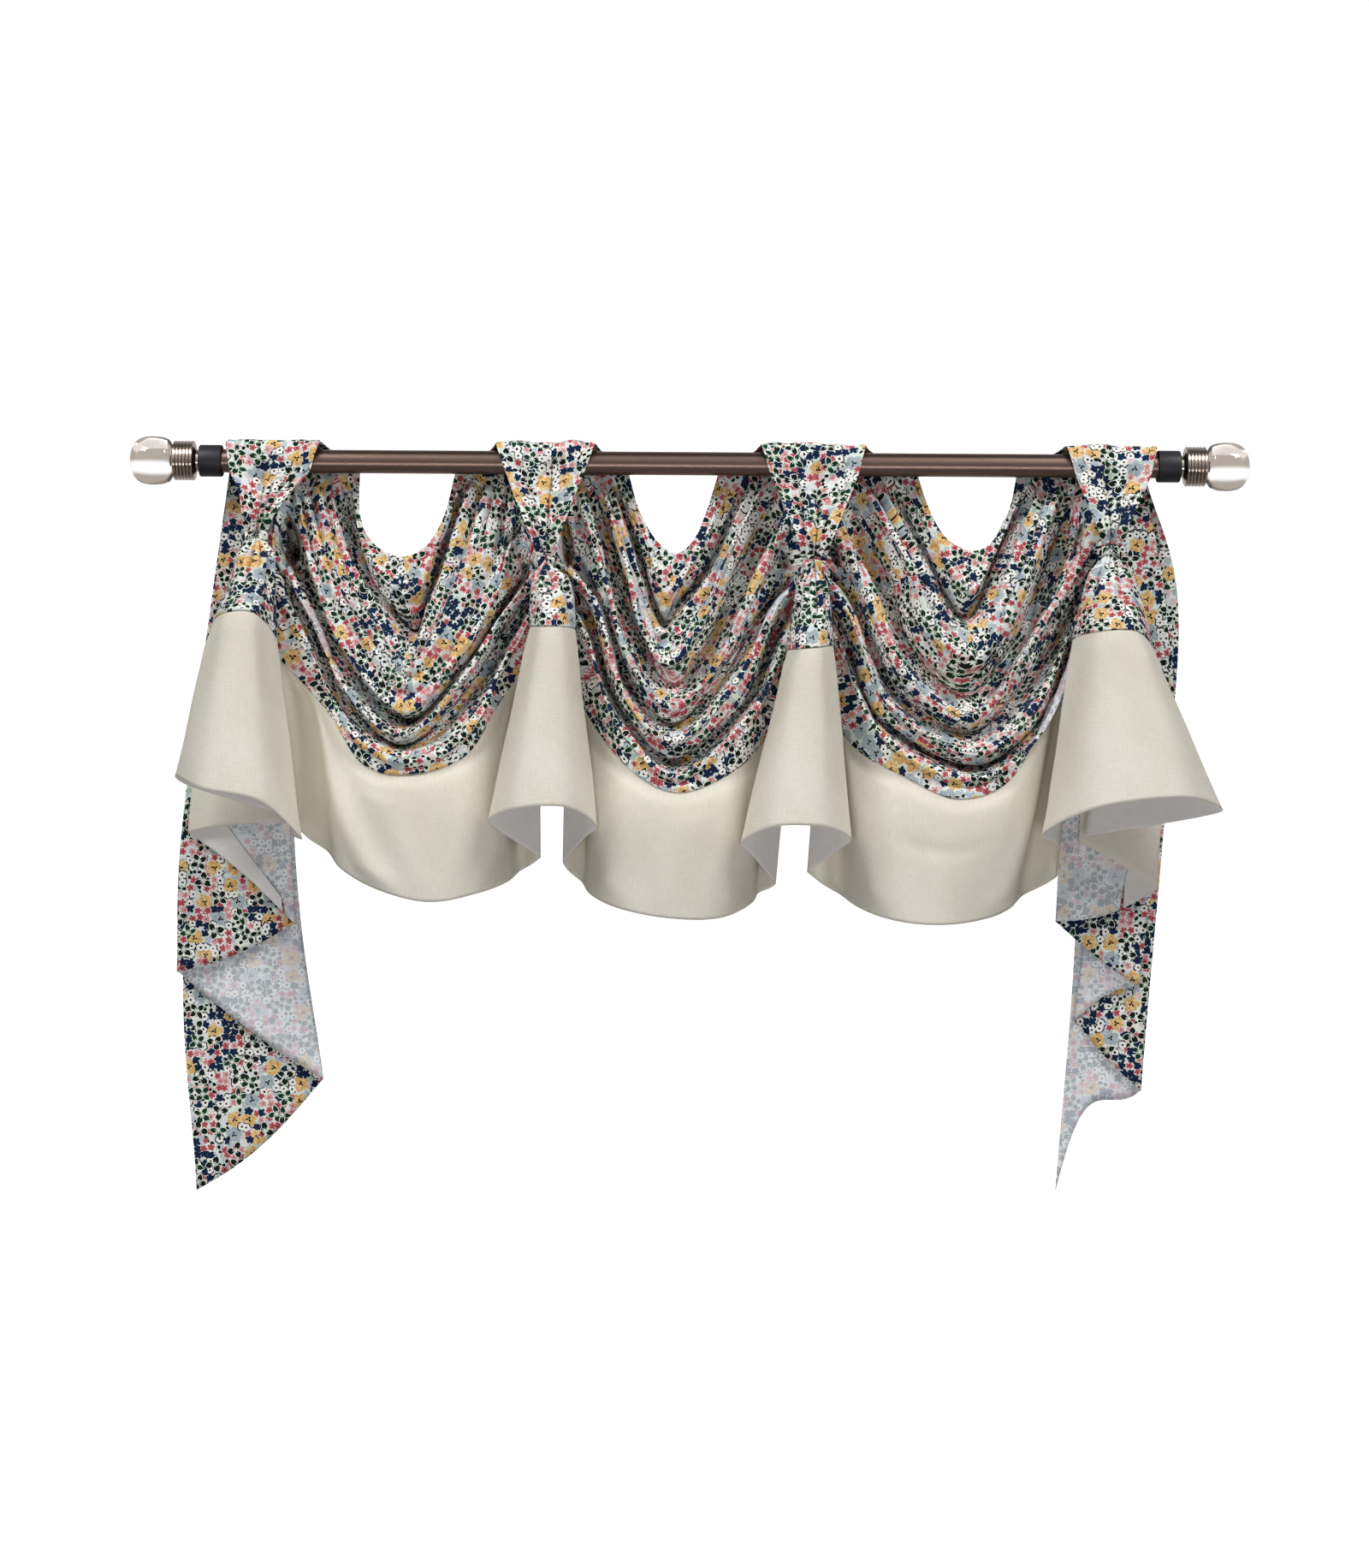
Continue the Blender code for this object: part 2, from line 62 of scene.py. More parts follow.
# %% The camera
CAMERA_PLACE = (-0.0036, -3.0, -0.343)
CAMERA_ROLL = math.radians(-0.35)
DRAPE_PLANE_Y = -0.025
VIEW_HEIGHT = 1.665
SENSOR_MM = 36.0


def place_camera():
    lens = bpy.data.cameras.new("Camera")
    lens.sensor_width = SENSOR_MM
    lens.lens = SENSOR_MM * (DRAPE_PLANE_Y - CAMERA_PLACE[1]) / VIEW_HEIGHT
    camera = bpy.data.objects.new("Camera", lens)
    camera.location = CAMERA_PLACE
    camera.rotation_euler = (math.radians(90), CAMERA_ROLL, 0)
    bpy.context.scene.collection.objects.link(camera)
    bpy.context.scene.camera = camera
    return lens.lens


print("camera: lens", round(place_camera(), 1), "mm")

# %% [markdown]
# ## The studio
#
# Soft cloth needs soft light, but folds only read if the light has a direction. Two large soft boxes hang
# high in front, one at each side, so that the crests catch the light of both and neither looks down into
# the valleys. A long low one lights the tails and the insides of the horns. The surrounding is dim in
# front, so that it doesn't wash the folds out, and brighter behind, where it alone lights the back of the
# cloth. Metal and glass need something to mirror: to them the surrounding shows a broad pale card in
# front, and a bright backdrop behind with darker sides, which is how glass is lit so that its outline
# shows. The floor is a round pale disc that thins out towards its rim, so that no horizon line shows
# behind the drape.

# %% Soft boxes
# name, place, aimed at, width, height, watts
SOFT_BOXES = [
    ("Left key", (-1.7, -1.5, 2.0), (0.0, 0.0, -0.35), 1.0, 0.9, 44.0),
    ("Right key", (1.7, -1.5, 2.0), (0.0, 0.0, -0.35), 1.0, 0.9, 44.0),
    ("Fill", (0.0, -2.2, -1.15), (0.0, 0.0, -0.7), 2.4, 0.3, 14.0),
]


def soft_box(name, place, aim, width, height, power):
    light = bpy.data.lights.new(name, "AREA")
    light.shape = "RECTANGLE"
    light.size = width
    light.size_y = height
    light.energy = power
    box = bpy.data.objects.new(name, light)
    box.location = place
    box.rotation_euler = (Vector(aim) - Vector(place)).to_track_quat("-Z", "Y").to_euler()
    bpy.context.scene.collection.objects.link(box)


for soft_box_row in SOFT_BOXES:
    soft_box(*soft_box_row)
print("soft boxes:", [row[0] for row in SOFT_BOXES])

# %% Node trees as formulas
class Nodes:
    """Writes a node tree as formulas: each method adds one node and gives its output."""

    def __init__(self, tree):
        self.tree = tree

    def add(self, kind, inputs=None, **settings):
        made = self.tree.nodes.new(kind)
        for key, value in settings.items():
            setattr(made, key, value)
        for key, value in (inputs or {}).items():
            if isinstance(value, bpy.types.NodeSocket):
                self.tree.links.new(value, made.inputs[key])
            else:
                made.inputs[key].default_value = value
        return made

    def math(self, operation, first, second=0.0, third=0.0):
        return self.add("ShaderNodeMath", {0: first, 1: second, 2: third}, operation=operation).outputs[0]

    def vector(self, operation, first, second=(0, 0, 0), scale=1.0):
        inputs = {0: first, "Scale": scale} if operation == "SCALE" else {0: first, 1: second}
        made = self.add("ShaderNodeVectorMath", inputs, operation=operation)
        return made.outputs[1 if operation in ("LENGTH", "DISTANCE") else 0]

    def mix(self, factor, below, above):
        """below where the factor is 0 and above where it is 1."""
        made = self.add("ShaderNodeMix", {0: factor, 6: below, 7: above}, data_type="RGBA")
        return made.outputs[2]

    def ramp(self, value, low, high, to_low=0.0, to_high=1.0):
        inputs = {0: value, 1: low, 2: high, 3: to_low, 4: to_high}
        return self.add("ShaderNodeMapRange", inputs, interpolation_type="SMOOTHSTEP").outputs[0]

    def cloudy(self, place, scale=1.0, detail=1.0, output="Fac"):
        inputs = {"Vector": place, "Scale": scale, "Detail": detail}
        return self.add("ShaderNodeTexNoise", inputs).outputs[output]

    def feed(self, node, **sources):
        """Links a source to each named input of a node; an underscore stands for a space in the name."""
        for name, source in sources.items():
            self.tree.links.new(source, node.inputs[name.replace("_", " ")])


# %% The surrounding
def paint(red, green, blue):
    """A colour as a paint chart gives it, 0 to 255, in the linear values that shaders use."""
    def linear(value):
        share = value / 255
        return share / 12.92 if share <= 0.04045 else ((share + 0.055) / 1.055) ** 2.4
    return (linear(red), linear(green), linear(blue), 1.0)


AMBIENT = 0.10
AMBIENT_BEHIND = 0.55
CARD_LIGHT = 0.6
BACKDROP = (paint(176, 166, 156), paint(255, 255, 255))
BACKDROP_SIDES = paint(108, 88, 76)
# Where the parts of the surrounding fade in or out, on a sphere of radius 1 round the drape: how far
# behind it (y) or how high (z) the fade begins and ends.
BEHIND_Y = (0.1, 0.8)
CARD_Y = (0.0, -0.3)
CARD_FOOT_Z = (-0.5, 0.6)
CARD_TOP_Z = (0.98, 0.88)
BACKDROP_Y = (0.2, 0.6)
BACKDROP_FOOT_Z = (0.04, 0.2)
BACKDROP_TOP_Z = (0.6, 0.4)


def light_the_world():
    world = bpy.data.worlds.new("Pale surrounding")
    world.use_nodes = True
    bpy.context.scene.world = world
    n = Nodes(world.node_tree)
    ray = n.add("ShaderNodeLightPath").outputs
    way = n.add("ShaderNodeSeparateXYZ", {0: n.add("ShaderNodeTexCoord").outputs["Generated"]}).outputs
    card = n.math("MULTIPLY", n.ramp(way[2], *CARD_FOOT_Z, 0.0, CARD_LIGHT), n.ramp(way[2], *CARD_TOP_Z))
    card = n.math("MULTIPLY", card, n.ramp(way[1], *CARD_Y))
    ambient = n.ramp(way[1], *BEHIND_Y, AMBIENT, AMBIENT_BEHIND)
    strength = n.math("MULTIPLY_ADD", ray["Is Glossy Ray"], card, ambient)
    strength = n.math("MAXIMUM", strength, ray["Is Transmission Ray"])
    strength = n.math("MAXIMUM", strength, ray["Is Camera Ray"])
    patch = n.math("MULTIPLY", n.ramp(way[2], *BACKDROP_FOOT_Z), n.ramp(way[2], *BACKDROP_TOP_Z))
    behind = n.mix(patch, *BACKDROP)
    behind = n.mix(n.ramp(way[1], *BACKDROP_Y), BACKDROP_SIDES, behind)
    colour = n.mix(ray["Is Transmission Ray"], BACKDROP[1], behind)
    n.feed(world.node_tree.nodes["Background"], Color=colour, Strength=strength)


light_the_world()
print("surrounding:", AMBIENT, "in front and", AMBIENT_BEHIND, "behind")

# %% The floor
FLOOR_Z = -1.2
FLOOR_RADIUS = 3.0
FLOOR_SIDES = 96
FLOOR_GLOW = 0.45
FLOOR_FADE = (0.1, 0.6 * FLOOR_RADIUS)
FLOOR_THINNING = (0.55, 1.0)


def lay_floor():
    shape = bmesh.new()
    bmesh.ops.create_circle(shape, cap_ends=True, segments=FLOOR_SIDES, radius=FLOOR_RADIUS)
    bmesh.ops.translate(shape, verts=shape.verts, vec=(0, 0, FLOOR_Z))
    mesh = bpy.data.meshes.new("Floor")
    shape.to_mesh(mesh)
    shape.free()
    floor = bpy.data.objects.new("Floor", mesh)
    bpy.context.scene.collection.objects.link(floor)
    pale = bpy.data.materials.new("Pale floor")
    pale.use_nodes = True
    n = Nodes(pale.node_tree)
    shader = pale.node_tree.nodes["Principled BSDF"]
    shader.inputs["Base Color"].default_value = paint(250, 250, 250)
    shader.inputs["Roughness"].default_value = 0.9
    shader.inputs["Emission Color"].default_value = paint(255, 255, 255)
    place = n.add("ShaderNodeTexCoord").outputs["Object"]
    flat = n.vector("MULTIPLY", place, (1, 1, 0))
    fade = n.ramp(n.vector("LENGTH", flat), *FLOOR_FADE, *FLOOR_THINNING)
    seen = n.math("MULTIPLY", n.add("ShaderNodeLightPath").outputs["Is Camera Ray"], FLOOR_GLOW)
    n.feed(shader, Emission_Strength=seen)
    clear = n.add("ShaderNodeBsdfTransparent").outputs[0]
    blend = n.add("ShaderNodeMixShader", {0: fade, 1: shader.outputs[0], 2: clear})
    n.feed(pale.node_tree.nodes["Material Output"], Surface=blend.outputs[0])
    mesh.materials.append(pale)


lay_floor()
bpy.context.scene.view_settings.view_transform = "Standard"
bpy.context.scene.view_settings.look = "Medium High Contrast"
print("floor at", FLOOR_Z)


# %% [markdown]
# ## The flower print
#
# The print is a dense scatter of small ordinary flowers and leaves on a pale ground. An image texture
# would be the usual way. Here it is all formulas, so that it stays sharp at any distance and needs no
# file. A Voronoi texture drops one motif in each of its cells, the cell's random colour turns it and
# picks its kind, and a formula on angle and distance from the cell's point draws the petals. The layers
# lie over each other as the inks of a print do: soft patches, dusky and golden flowers, small blossoms,
# and the leaves last.
#
# The pattern reads the piece's own cloth coordinates, so it follows the folds.

# %% Inks of the print
GROUND = (paint(236, 242, 232), paint(224, 228, 232))
PATCHES = (paint(188, 206, 194), paint(190, 200, 214), paint(228, 202, 202))
DUSK = (paint(168, 182, 190), paint(186, 196, 200))
LEAF = (paint(22, 32, 30), paint(22, 62, 44))
STEM = paint(228, 236, 222)
CORAL = paint(192, 98, 104)
ROSE = paint(220, 162, 162)
NAVY = paint(24, 46, 78)
INK = paint(16, 16, 22)
WHITE = paint(246, 244, 240)
GOLD = (paint(218, 174, 112), paint(236, 208, 156))
WRONG_SIDE_PALE = paint(244, 248, 255)
FULL_TURN = 2 * math.pi
METRE_TO_MM = 1000.0


# %% One motif to a cell
class Spot:
    """A point's place in the motif of its own cell, in millimetres, and the cell's random numbers."""

    def __init__(self, n, place, cell, shift, looseness):
        moved = n.vector("ADD", place, shift)
        scaled = n.vector("SCALE", moved, scale=1.0 / cell)
        inputs = {"Vector": scaled, "Scale": 1.0, "Randomness": looseness}
        cells = n.add("ShaderNodeTexVoronoi", inputs, voronoi_dimensions="2D")
        away = n.vector("SCALE", n.vector("SUBTRACT", scaled, cells.outputs["Position"]), scale=cell)
        chances = n.add("ShaderNodeSeparateColor", {0: cells.outputs["Color"]}).outputs
        self.chance, self.tone = chances[1], chances[2]
        spin = n.math("MULTIPLY", chances[0], FULL_TURN)
        turned = n.add("ShaderNodeVectorRotate", {"Vector": away, "Angle": spin}, rotation_type="Z_AXIS")
        parts = n.add("ShaderNodeSeparateXYZ", {0: turned.outputs[0]}).outputs
        self.radius = n.vector("LENGTH", away)
        self.angle = n.math("ARCTAN2", parts[1], parts[0])
        back = n.vector("SCALE", cells.outputs["Position"], scale=cell)
        self.centre = n.vector("SUBTRACT", back, shift)


def between(n, value, low, high):
    return n.math("MULTIPLY", n.math("GREATER_THAN", value, low), n.math("LESS_THAN", value, high))


def flower(n, spot, reach, petals, notch, softness):
    """1 inside the flower's outline, which is far out on each petal and close in at the notches."""
    swing = n.math("ABSOLUTE", n.math("COSINE", n.math("MULTIPLY", spot.angle, petals / 2)))
    lobe = n.math("POWER", swing, softness)
    edge = n.math("MULTIPLY_ADD", lobe, reach * notch, reach * (1 - notch))
    return n.math("LESS_THAN", spot.radius, edge)


def disc(n, spot, reach):
    return n.math("LESS_THAN", spot.radius, reach)


def rays(n, spot, reach, count, width):
    """A starburst of thin rays."""
    aside = n.math("ABSOLUTE", n.math("SINE", n.math("MULTIPLY", spot.angle, count / 2)))
    offset = n.math("MULTIPLY", n.math("MULTIPLY", aside, spot.radius), 2.0 / count)
    return n.math("MULTIPLY", n.math("LESS_THAN", offset, width / 2), disc(n, spot, reach))


def leaves(n, spot, count, start, length, width, spare=0.0):
    """A sprig of pointed leaves round its centre. spare widens them, for the pale rim below them."""
    half = math.pi / count
    lean = n.math("WRAP", spot.angle, half, -half)
    along = n.math("MULTIPLY", spot.radius, n.math("COSINE", lean))
    aside = n.math("ABSOLUTE", n.math("MULTIPLY", spot.radius, n.math("SINE", lean)))
    reach = length / 2 + spare
    off = n.math("DIVIDE", n.math("SUBTRACT", along, start + length / 2), reach)
    room = n.math("MULTIPLY_ADD", n.math("MULTIPLY", off, off), -(width / 2 + spare), width / 2 + spare)
    return n.math("LESS_THAN", aside, room)


# %% The layers of the print
# The layers of cells, in millimetres: how large a cell is, where the layer starts, and how freely the
# motifs lie.
PATCH_CELLS = dict(cell=9.5, shift=(40, 3, 0), looseness=0.8)
LARGE_CELLS = dict(cell=19.0, shift=(60, 9, 0), looseness=0.7)
SMALL_CELLS = dict(cell=8.0, shift=(31, 17, 0), looseness=0.55)
GROUP_CELLS = dict(cell=17.0, shift=(5, 40, 0), looseness=0.9)
# What a cell holds, by its chance from 0 to 1. The large cells that are left over go to the small
# flowers.
PATCH_STEP = 0.25
PATCH_SHARE = 0.22
GOLDEN_END = 0.17
DUSKY_END = 0.27
LEAF_END = 0.74
BURST_END = 0.84
SMALL_KINDS = dict(coral=(-1, 0.36), navy=(0.36, 0.60), white=(0.60, 0.84), twin=(0.88, 2))
DEEP_RED_SHARE = 0.6
DARK_LEAF_SHARE = 0.65
THREE_LEAF_SHARE = 0.35
GROUPING = 0.3
LARGE_REACH = 9.4
LARGE_ROOM = 0.6
# The flowers below are reach, petals, depth of the notches and softness of the petals; the leaves are
# count, start, length, width and the width of their pale rim; starbursts are reach, count and width.
PATCH_FLOWER = (4.6, 4, 0.3, 0.7)
LARGE_RIM = (LARGE_REACH + 0.7, 5, 0.3, 0.7)
LARGE_FLOWER = (LARGE_REACH, 5, 0.32, 0.7)
LARGE_HEART = (3, 0.0, 3.4, 1.9)
BURSTS = (((6.2, 9, 2.3), WHITE), ((5.8, 9, 1.1), CORAL))
SPRIG_RIM = 0.8
SPRIG = (0.9, 8.6)
SPRIG_STEM = (3.4, 0.9)
FOUR_LEAF_WIDTH = 5.2
THREE_LEAF_WIDTH = 6.2
INK_WANDER = 2.8
WANDER_SCALE = 0.16
GROUND_SCALE = 0.06
WASH_SCALE = 0.3
GROUND_FADE = (0.35, 0.65)
WASH_FADE = (0.42, 0.58)
print("small kinds of flower:", list(SMALL_KINDS))


# %% The print's colour, as a node group
def print_group():
    tree = bpy.data.node_groups.new("Flower print", "ShaderNodeTree")
    tree.interface.new_socket("Cloth place", in_out="INPUT", socket_type="NodeSocketVector")
    tree.interface.new_socket("Colour", in_out="OUTPUT", socket_type="NodeSocketColor")
    n = Nodes(tree)
    drawn = n.vector("SCALE", n.add("NodeGroupInput").outputs[0], scale=METRE_TO_MM)
    wobble = n.cloudy(drawn, WANDER_SCALE, output="Color")
    shake = n.vector("SCALE", n.vector("SUBTRACT", wobble, (0.5, 0.5, 0.5)), scale=INK_WANDER)
    place = n.vector("ADD", drawn, shake)

    def print_over(colour, shape, ink, where=1.0):
        return n.mix(n.math("MULTIPLY", shape, where), colour, ink)

    colour = n.mix(n.ramp(n.cloudy(place, GROUND_SCALE), *GROUND_FADE), *GROUND)
    patch = Spot(n, place, **PATCH_CELLS)
    for index, tint in enumerate(PATCHES):
        there = between(n, patch.chance, PATCH_STEP * index, PATCH_STEP * index + PATCH_SHARE)
        colour = print_over(colour, flower(n, patch, *PATCH_FLOWER), tint, there)

    large = Spot(n, place, **LARGE_CELLS)
    golden = n.math("LESS_THAN", large.chance, GOLDEN_END)
    dusky = between(n, large.chance, GOLDEN_END, DUSKY_END)
    leafy = between(n, large.chance, DUSKY_END, LEAF_END)
    burst = between(n, large.chance, LEAF_END, BURST_END)
    wash = n.ramp(n.cloudy(place, WASH_SCALE), *WASH_FADE)
    for where, inks in ((golden, GOLD), (dusky, DUSK)):
        colour = print_over(colour, flower(n, large, *LARGE_RIM), STEM, where)
        colour = print_over(colour, flower(n, large, *LARGE_FLOWER), n.mix(wash, *inks), where)
        colour = print_over(colour, leaves(n, large, *LARGE_HEART), INK, where)
    for sizes, ink in BURSTS:
        colour = print_over(colour, rays(n, large, *sizes), ink, burst)

    small = Spot(n, place, **SMALL_CELLS)
    under = Spot(n, small.centre, **LARGE_CELLS)
    group = Spot(n, small.centre, **GROUP_CELLS)
    kind = n.math("FRACT", n.math("MULTIPLY_ADD", small.chance, GROUPING, group.chance))
    free = n.math("GREATER_THAN", under.chance, DUSKY_END)
    apart = n.vector("DISTANCE", small.centre, under.centre)
    open_cloth = n.math("MAXIMUM", free, n.math("GREATER_THAN", apart, LARGE_REACH - LARGE_ROOM))
    there = {
        name: n.math("MULTIPLY", between(n, kind, *span), open_cloth)
        for name, span in SMALL_KINDS.items()
    }
    red = n.mix(n.math("GREATER_THAN", small.tone, DEEP_RED_SHARE), CORAL, ROSE)
    for where, shape, sizes, ink in (
        ("coral", flower, (4.7, 5, 0.38, 0.7), WHITE),
        ("coral", flower, (4.1, 5, 0.45, 0.8), red),
        ("coral", disc, (0.7,), INK),
        ("navy", flower, (5.6, 5, 0.35, 0.7), STEM),
        ("navy", flower, (5.2, 5, 0.45, 0.8), NAVY),
        ("white", flower, (5.8, 6, 0.18, 0.7), INK),
        ("white", flower, (4.5, 6, 0.24, 0.7), WHITE),
        ("white", disc, (1.2,), INK),
        ("twin", leaves, (2, 0.3, 5.4, 3.8, SPRIG_RIM), STEM),
        ("twin", leaves, (2, 0.3, 5.4, 3.8), LEAF[0]),
    ):
        colour = print_over(colour, shape(n, small, *sizes), ink, there[where])

    green = n.mix(n.math("GREATER_THAN", large.tone, DARK_LEAF_SHARE), *LEAF)
    four = n.math("MULTIPLY", leafy, n.math("GREATER_THAN", large.tone, THREE_LEAF_SHARE))
    three = n.math("MULTIPLY", leafy, n.math("LESS_THAN", large.tone, THREE_LEAF_SHARE))
    for where, count, width in ((four, 4, FOUR_LEAF_WIDTH), (three, 3, THREE_LEAF_WIDTH)):
        colour = print_over(colour, leaves(n, large, count, *SPRIG, width, SPRIG_RIM), STEM, where)
        colour = print_over(colour, leaves(n, large, count, *SPRIG, width), green, where)
        reach, stem_width = SPRIG_STEM
        colour = print_over(colour, rays(n, large, reach, count, stem_width), STEM, where)
    n.add("NodeGroupOutput", {0: colour})
    return tree


FLOWER_PRINT = print_group()
print("print:", len(FLOWER_PRINT.nodes), "nodes")

# %% [markdown]
# ## The cottons
#
# Printed cotton shows its colours on the right side only. On the wrong side the same flowers come through
# as a pale ghost, which is what the turned-back layers of the tails show. So the print has two materials
# that share one pattern, and Solidify gives the second one to the back of each sheet. The plain cream
# cotton has the same colour on both sides, but it gets a second material too: a cooler, paler cream on
# the back of each sheet, which is painted cool light on the insides of the horns and the bands. Both
# cottons have a fine slub: threads of uneven thickness in two directions, which break up the light just
# enough.

# %% Cloth materials
CREAM = (paint(236, 231, 219), paint(227, 221, 207))
# The back of the cream sheets is the same cotton: this cooler, paler cream is painted cool light.
CREAM_BACK_PAINTED_COOL_LIGHT = (paint(240, 237, 234), paint(232, 229, 227))
COTTON = {"Roughness": 0.88, "Specular IOR Level": 0.25, "Sheen Weight": 0.08, "Sheen Roughness": 0.5}
SLUB_MM = 0.9
THREAD_WAYS = ((1.0, 0.06, 1.0), (0.06, 1.0, 1.0))
THREAD_SHADE = (0.93, 1.05)
WEAVE_MM = 0.45
WEAVE_STRENGTH = 0.25
GHOST_PALENESS = 0.6
CREAM_CLOUDS = 9.0
NOISE_MIDDLE = (0.3, 0.7)


def cloth_material(name, printed=False, wrong_side=False):
    made = bpy.data.materials.new(name)
    made.use_nodes = True
    shader = made.node_tree.nodes["Principled BSDF"]
    for name_of_input, value in COTTON.items():
        shader.inputs[name_of_input].default_value = value
    n = Nodes(made.node_tree)
    place = n.add("ShaderNodeUVMap", uv_map="Cloth").outputs[0]
    threads = []
    for way in THREAD_WAYS:
        run = n.vector("MULTIPLY", place, tuple(METRE_TO_MM / SLUB_MM * side for side in way))
        threads.append(n.math("MULTIPLY", n.cloudy(run, detail=2.0), 0.5))
    slub = n.math("ADD", *threads)
    if printed:
        group = n.add("ShaderNodeGroup", {}, node_tree=FLOWER_PRINT)
        n.feed(group, Cloth_place=place)
        colour = group.outputs[0]
        if wrong_side:
            colour = n.mix(GHOST_PALENESS, colour, WRONG_SIDE_PALE)
    else:
        cloud = n.cloudy(n.vector("SCALE", place, scale=CREAM_CLOUDS), detail=2.0)
        # On the cream's back the colour is a cooler, paler copy of the cream: painted cool light.
        colour = n.mix(n.ramp(cloud, *NOISE_MIDDLE), *(CREAM_BACK_PAINTED_COOL_LIGHT if wrong_side else CREAM))
    shaded = n.vector("SCALE", colour, scale=n.ramp(slub, *NOISE_MIDDLE, *THREAD_SHADE))
    inputs = {"Height": slub, "Strength": WEAVE_STRENGTH, "Distance": WEAVE_MM * MM}
    n.feed(shader, Base_Color=shaded, Normal=n.add("ShaderNodeBump", inputs).outputs[0])
    return made


PRINT_CLOTH = [cloth_material("Print, right side", printed=True),
               cloth_material("Print, wrong side", printed=True, wrong_side=True)]
# The cream's second material is a copy of the same cotton with painted cool light, for the back of the
# sheets.
CREAM_CLOTH = [cloth_material("Cream cotton, right side"),
               cloth_material("Cream cotton, back, painted cool light", wrong_side=True)]
print("cloth materials:", [made.name for made in PRINT_CLOTH + CREAM_CLOTH])

# %% [markdown]
# ## Metal, plastic and glass
#
# The rod is brushed bronze: its grain runs along the tube, and highlights lie along it in soft bands. The
# necks are turned nickel with a brighter finish, the sleeves between rod and neck are matt dark plastic,
# and the knobs are clear glass.

# %% Hard materials
GLOSS_SPREAD = (0.85, 1.15)
NOISE_BROAD = (0.2, 0.8)
GRAIN_STRENGTH = 0.3
FINE_GRAIN = 0.03 * MM
SLEEVE_GRAIN = 0.05 * MM
GLASS_LOOK = {"Transmission Weight": 1.0, "IOR": 1.5}


def hard_material(name, colour, roughness, metallic=0.0, grain=(1.0, 1.0, 1.0), grain_depth=0.0, tone=0.1):
    """A finish whose tone and roughness vary with a fine grain, stretched by the grain's three shares."""
    made = bpy.data.materials.new(name)
    made.use_nodes = True
    shader = made.node_tree.nodes["Principled BSDF"]
    shader.inputs["Metallic"].default_value = metallic
    n = Nodes(made.node_tree)
    place = n.add("ShaderNodeTexCoord").outputs["Object"]
    run = n.vector("MULTIPLY", place, tuple(METRE_TO_MM * side for side in grain))
    fibre = n.cloudy(run, detail=3.0)
    dark = tuple(value * (1 - tone) for value in colour[:3]) + (1.0,)
    gloss = [roughness * share for share in GLOSS_SPREAD]
    n.feed(shader, Base_Color=n.mix(n.ramp(fibre, *NOISE_MIDDLE), dark, colour),
           Roughness=n.ramp(fibre, *NOISE_BROAD, *gloss))
    if grain_depth:
        inputs = {"Height": fibre, "Strength": GRAIN_STRENGTH, "Distance": grain_depth}
        n.feed(shader, Normal=n.add("ShaderNodeBump", inputs).outputs[0])
    return made


BRONZE = hard_material("Brushed bronze", paint(132, 113, 104), 0.33, 1.0, (0.15, 2.5, 2.5), FINE_GRAIN)
NICKEL = hard_material("Turned nickel", paint(196, 184, 174), 0.2, 1.0, (4.0, 0.1, 0.1), FINE_GRAIN)
DARK_SLEEVE = hard_material("Dark sleeve", paint(44, 43, 50), 0.5, 0.0, (1.5, 1.5, 1.5), SLEEVE_GRAIN, 0.25)
GLASS = hard_material("Clear glass", paint(250, 250, 250), 0.02, tone=0.02, grain=(0.1, 0.1, 0.1))
for input_name, amount in GLASS_LOOK.items():
    GLASS.node_tree.nodes["Principled BSDF"].inputs[input_name].default_value = amount
print("hard materials: bronze, nickel, dark sleeve, glass")

# %% [markdown]
# ## Where the cloth runs
#
# These tables are the drape's pattern as it hangs, in millimetres: x along the rod, z up from its axis,
# and a negative y towards the room. They are nearly the same fold lines that the plain solids are lofted
# from, so the fine cloth lies where the frame has it. Each row of a table is one crest, valley, seam or
# edge, and everything between two rows is worked out.

# %% The fold lines
# Where the neck of each horn runs: the line where its two edges are sewn to the swags, from the gather
# down to the hem. Each side is (x, y, z) at the gather, the print's lower seam and the hem.
NECKS = {
    1: dict(left=[(-462, -13, -74), (-462, 0, -240), (-438, 6, -377)],
            right=[(-447, -13, -74), (-442, 6, -208), (-420, 12, -392)]),
    2: dict(left=[(-158, -13, -99), (-161, 6, -196), (-158, 14, -423)],
            right=[(-146, -13, -99), (-131, 8, -226), (-134, 14, -429)]),
    3: dict(left=[(127, -13, -101), (113, 8, -235), (95, 14, -450)],
            right=[(138, -13, -101), (142, 8, -249), (129, 14, -437)]),
    4: dict(left=[(442, -13, -83), (418, 8, -231), (398, 14, -440)],
            right=[(455, -13, -83), (451, 2, -262), (425, 6, -397)]),
}

# Each swag hangs from the backs of two straps. The path of its edge starts at the corner of the scoop,
# runs behind the rod, comes forward under it to the gather and goes on down the neck of the horn.
BACK_EDGES = {
    1: dict(left=[(-355, 16, -7.9), (-426, 18, -7.9), (-438, 6, -40)],
            right=[(-252, 16, -7.9), (-185, 18, -7.9), (-165, 6, -54)]),
    2: dict(left=[(-66, 16, -7.9), (-120, 18, -7.9), (-140, 6, -54)],
            right=[(31, 16, -7.9), (101, 18, -7.9), (119, 6, -54)]),
    3: dict(left=[(245, 16, -7.9), (165, 18, -7.9), (146, 6, -54)],
            right=[(352, 16, -7.9), (416, 18, -7.9), (435, 6, -44)]),
}
EDGE_STOPS = (0.0, 0.25, 0.4, 0.5, 1.0)

